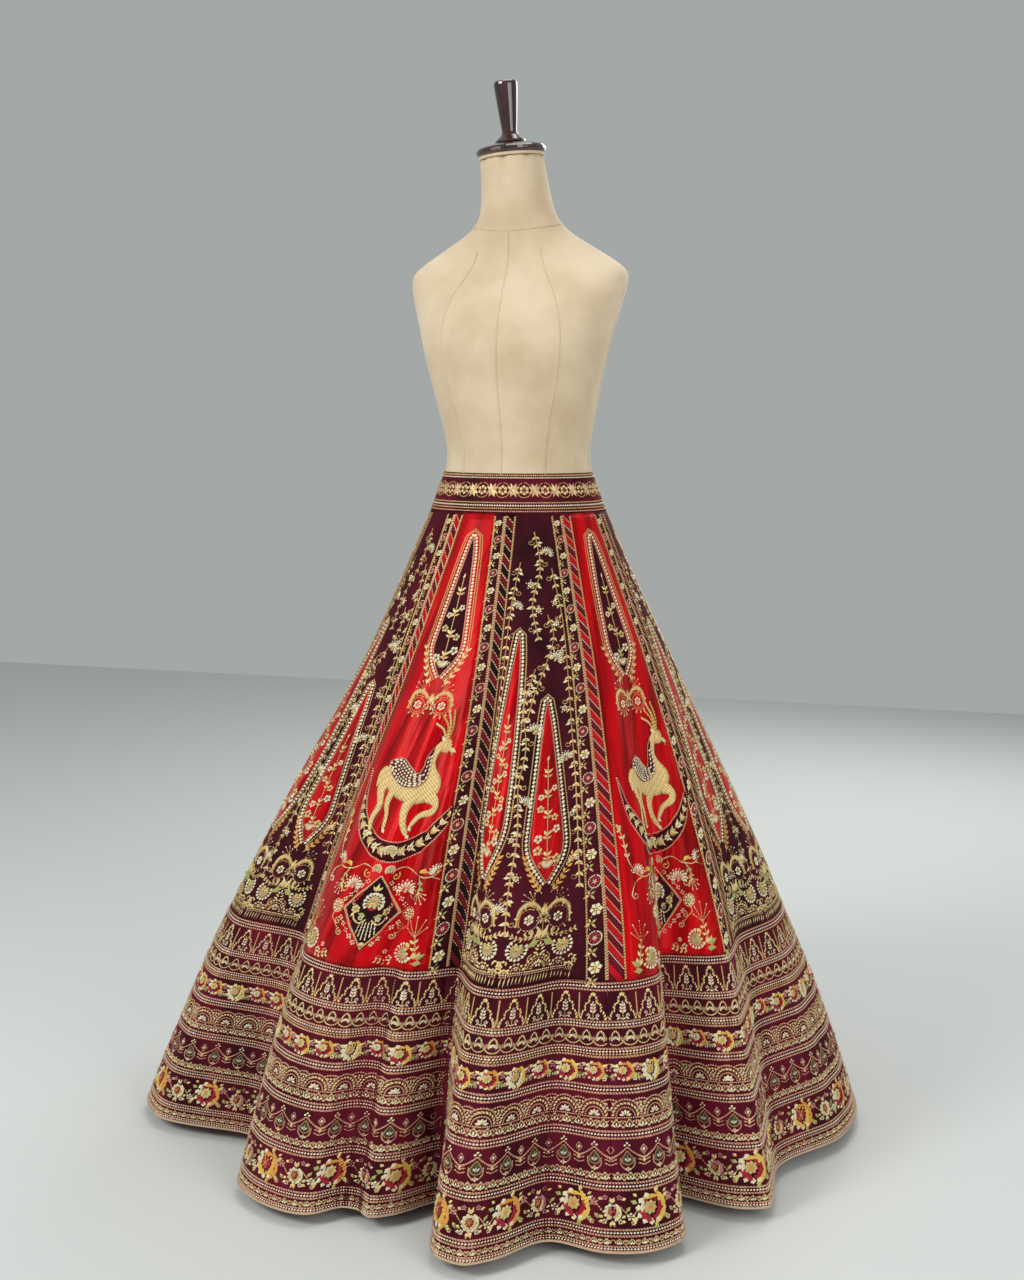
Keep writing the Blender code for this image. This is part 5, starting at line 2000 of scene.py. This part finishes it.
def cloth_piece(kali, part, left, right, top, bottom, columns, rows, finish, sewn_on):
    """One cloth of a kali, standing for its solid; what is sewn on it is passed in but not used."""
    name = f"kali_{kali + 1:02d}_{part}"
    place, flat_place = kali_place(kali, left, right, top, bottom)
    piece = cut_cloth(f"{name}_cloth", columns, rows, place, flat_place, (finish, lining))
    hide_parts(name)
    widest = float(right(np.array(bottom)) - left(np.array(bottom)))
    flat_area(left, right, top, bottom)


for kali in range(KALI_COUNT):
    colour = kali % 2
    name = f"kali_{kali + 1:02d}"

    def here(across, down, out, kali=kali):
        return hang(kali, across, down, out)

    def worked(part, designs):
        """The gold thread and the silk of one part of the kali, as its pieces."""
        threads = zip(("zari", "silk"), (zari, silk), designs)
        return [
            embroider(f"{name}_{part}_{kind}", rows, here, UPPER_EXTENT, finish)
            for kind, finish, rows in threads
        ]

    cloth_piece(
        kali, "stripes", first_seam, stripe_edge, 0.0, UPPER_LENGTH, 3, 64, STRIPED[colour],
        worked("stripes", (STRIPE_ROWS[colour],)),
    )
    cloth_piece(
        kali, "flowers", flower_edge, last_seam, 0.0, UPPER_LENGTH, 3, 64, dark_velvet,
        worked("flowers", FLOWER_ROWS),
    )
    other = 1 - colour
    patches = [
        patch_piece(f"{name}_patches", PATCHES[colour], here, PANEL_CLOTHS[other]),
    ]
    if colour == 0:
        patches += [
            patch_piece(f"{name}_deer", DEER_PATCHES, here, deer_silk),
            patch_piece(f"{name}_deer_saddle", SADDLE_PATCH, here, saddle_silk, 0.0012),
        ]
    cloth_piece(
        kali, "panel", stripe_edge, flower_edge, 0.0, UPPER_LENGTH, 20, 64, PANEL_CLOTHS[colour],
        [*patches, *worked("panel", PANEL_DESIGNS[colour])],
    )
    cloth_piece(
        kali, "border", first_seam, last_seam, UPPER_LENGTH, SLANT, 34, 28, maroon_velvet,
        worked("border", BORDER_ROWS),
    )


# The piping: a beige cotton cord sewn along the hem's edge, all the way round.

beige_cord, shade, add = new_finish("beige_piping", (0.60, 0.46, 0.30), 0.7)
beige_place = add("ShaderNodeTexCoord").outputs["Object"]
beige_twist = add("ShaderNodeTexWave", {"bands_direction": "DIAGONAL"}, Vector=beige_place, Scale=420.0)
beige_relief = add("ShaderNodeBump", Strength=0.5, Distance=0.0006, Height=beige_twist.outputs["Fac"])
shade(Normal=beige_relief.outputs["Normal"])
hem_line = []
for kali in range(KALI_COUNT):
    across = np.linspace(0.0, KALI_WIDE, 60, endpoint=False)
    hem_line.append(
        hang(kali, across, np.full_like(across, SLANT - 0.0006), np.full_like(across, 0.5 * CLOTH)),
    )
piping = welt("hem_piping", np.vstack(hem_line), 0.0017, beige_cord, closed=True)


# The setting: a plain pale floor under pale air, soft lights, and the camera in front and a little to the
# form's left, looking slightly down.

FLOOR_HALF = 4.0
floor_shape = bmesh.new()
bmesh.ops.create_grid(floor_shape, x_segments=2, y_segments=2, size=FLOOR_HALF)
floor_mesh = bpy.data.meshes.new("studio_floor")
floor_shape.to_mesh(floor_mesh)
floor_shape.free()
floor = bpy.data.objects.new("studio_floor", floor_mesh)
scene.collection.objects.link(floor)
floor_mesh.materials.append(new_finish("pale_studio", (0.66, 0.68, 0.66), 0.9)[0])


def soft_light(name, place, target, size, power):
    """A square soft box aimed at a point."""
    lamp = bpy.data.lights.new(name, "AREA")
    lamp.shape = "SQUARE"
    lamp.size = size
    lamp.energy = power
    light = bpy.data.objects.new(name, lamp)
    scene.collection.objects.link(light)
    light.location = place
    light.rotation_euler = (Vector(target) - Vector(place)).to_track_quat("-Z", "Y").to_euler()


SKIRT_MIDDLE = (0.0, 0.0, 0.7)
scene.view_settings.view_transform = "Standard"
soft_light("key", (-1.9, -2.6, 2.7), SKIRT_MIDDLE, 1.3, 68.0)
soft_light("fill", (2.6, -2.2, 1.6), SKIRT_MIDDLE, 1.8, 38.0)
soft_light("top", (0.2, 0.3, 3.6), (0.0, 0.0, 1.0), 1.6, 26.0)
soft_light("back", (0.6, 2.8, 2.2), SKIRT_MIDDLE, 1.8, 34.0)

world = bpy.data.worlds.new("studio_air")
scene.world = world
world.use_nodes = True
air = world.node_tree.nodes["Background"].inputs
air["Color"].default_value = (0.74, 0.78, 0.77, 1.0)
air["Strength"].default_value = 0.50

CAMERA_AZIMUTH = math.radians(17.0)
CAMERA_DISTANCE = 2.72
CAMERA_SIDE = -0.010
lens = bpy.data.cameras.new("camera")
lens.sensor_width = 36.0
lens.lens = 46.3
camera = bpy.data.objects.new("camera", lens)
scene.collection.objects.link(camera)
camera.location = (
    CAMERA_DISTANCE * math.sin(CAMERA_AZIMUTH) + CAMERA_SIDE * math.cos(CAMERA_AZIMUTH),
    -CAMERA_DISTANCE * math.cos(CAMERA_AZIMUTH) + CAMERA_SIDE * math.sin(CAMERA_AZIMUTH),
    1.177,
)
camera.rotation_euler = (math.radians(82.0), 0.0, CAMERA_AZIMUTH)
scene.camera = camera
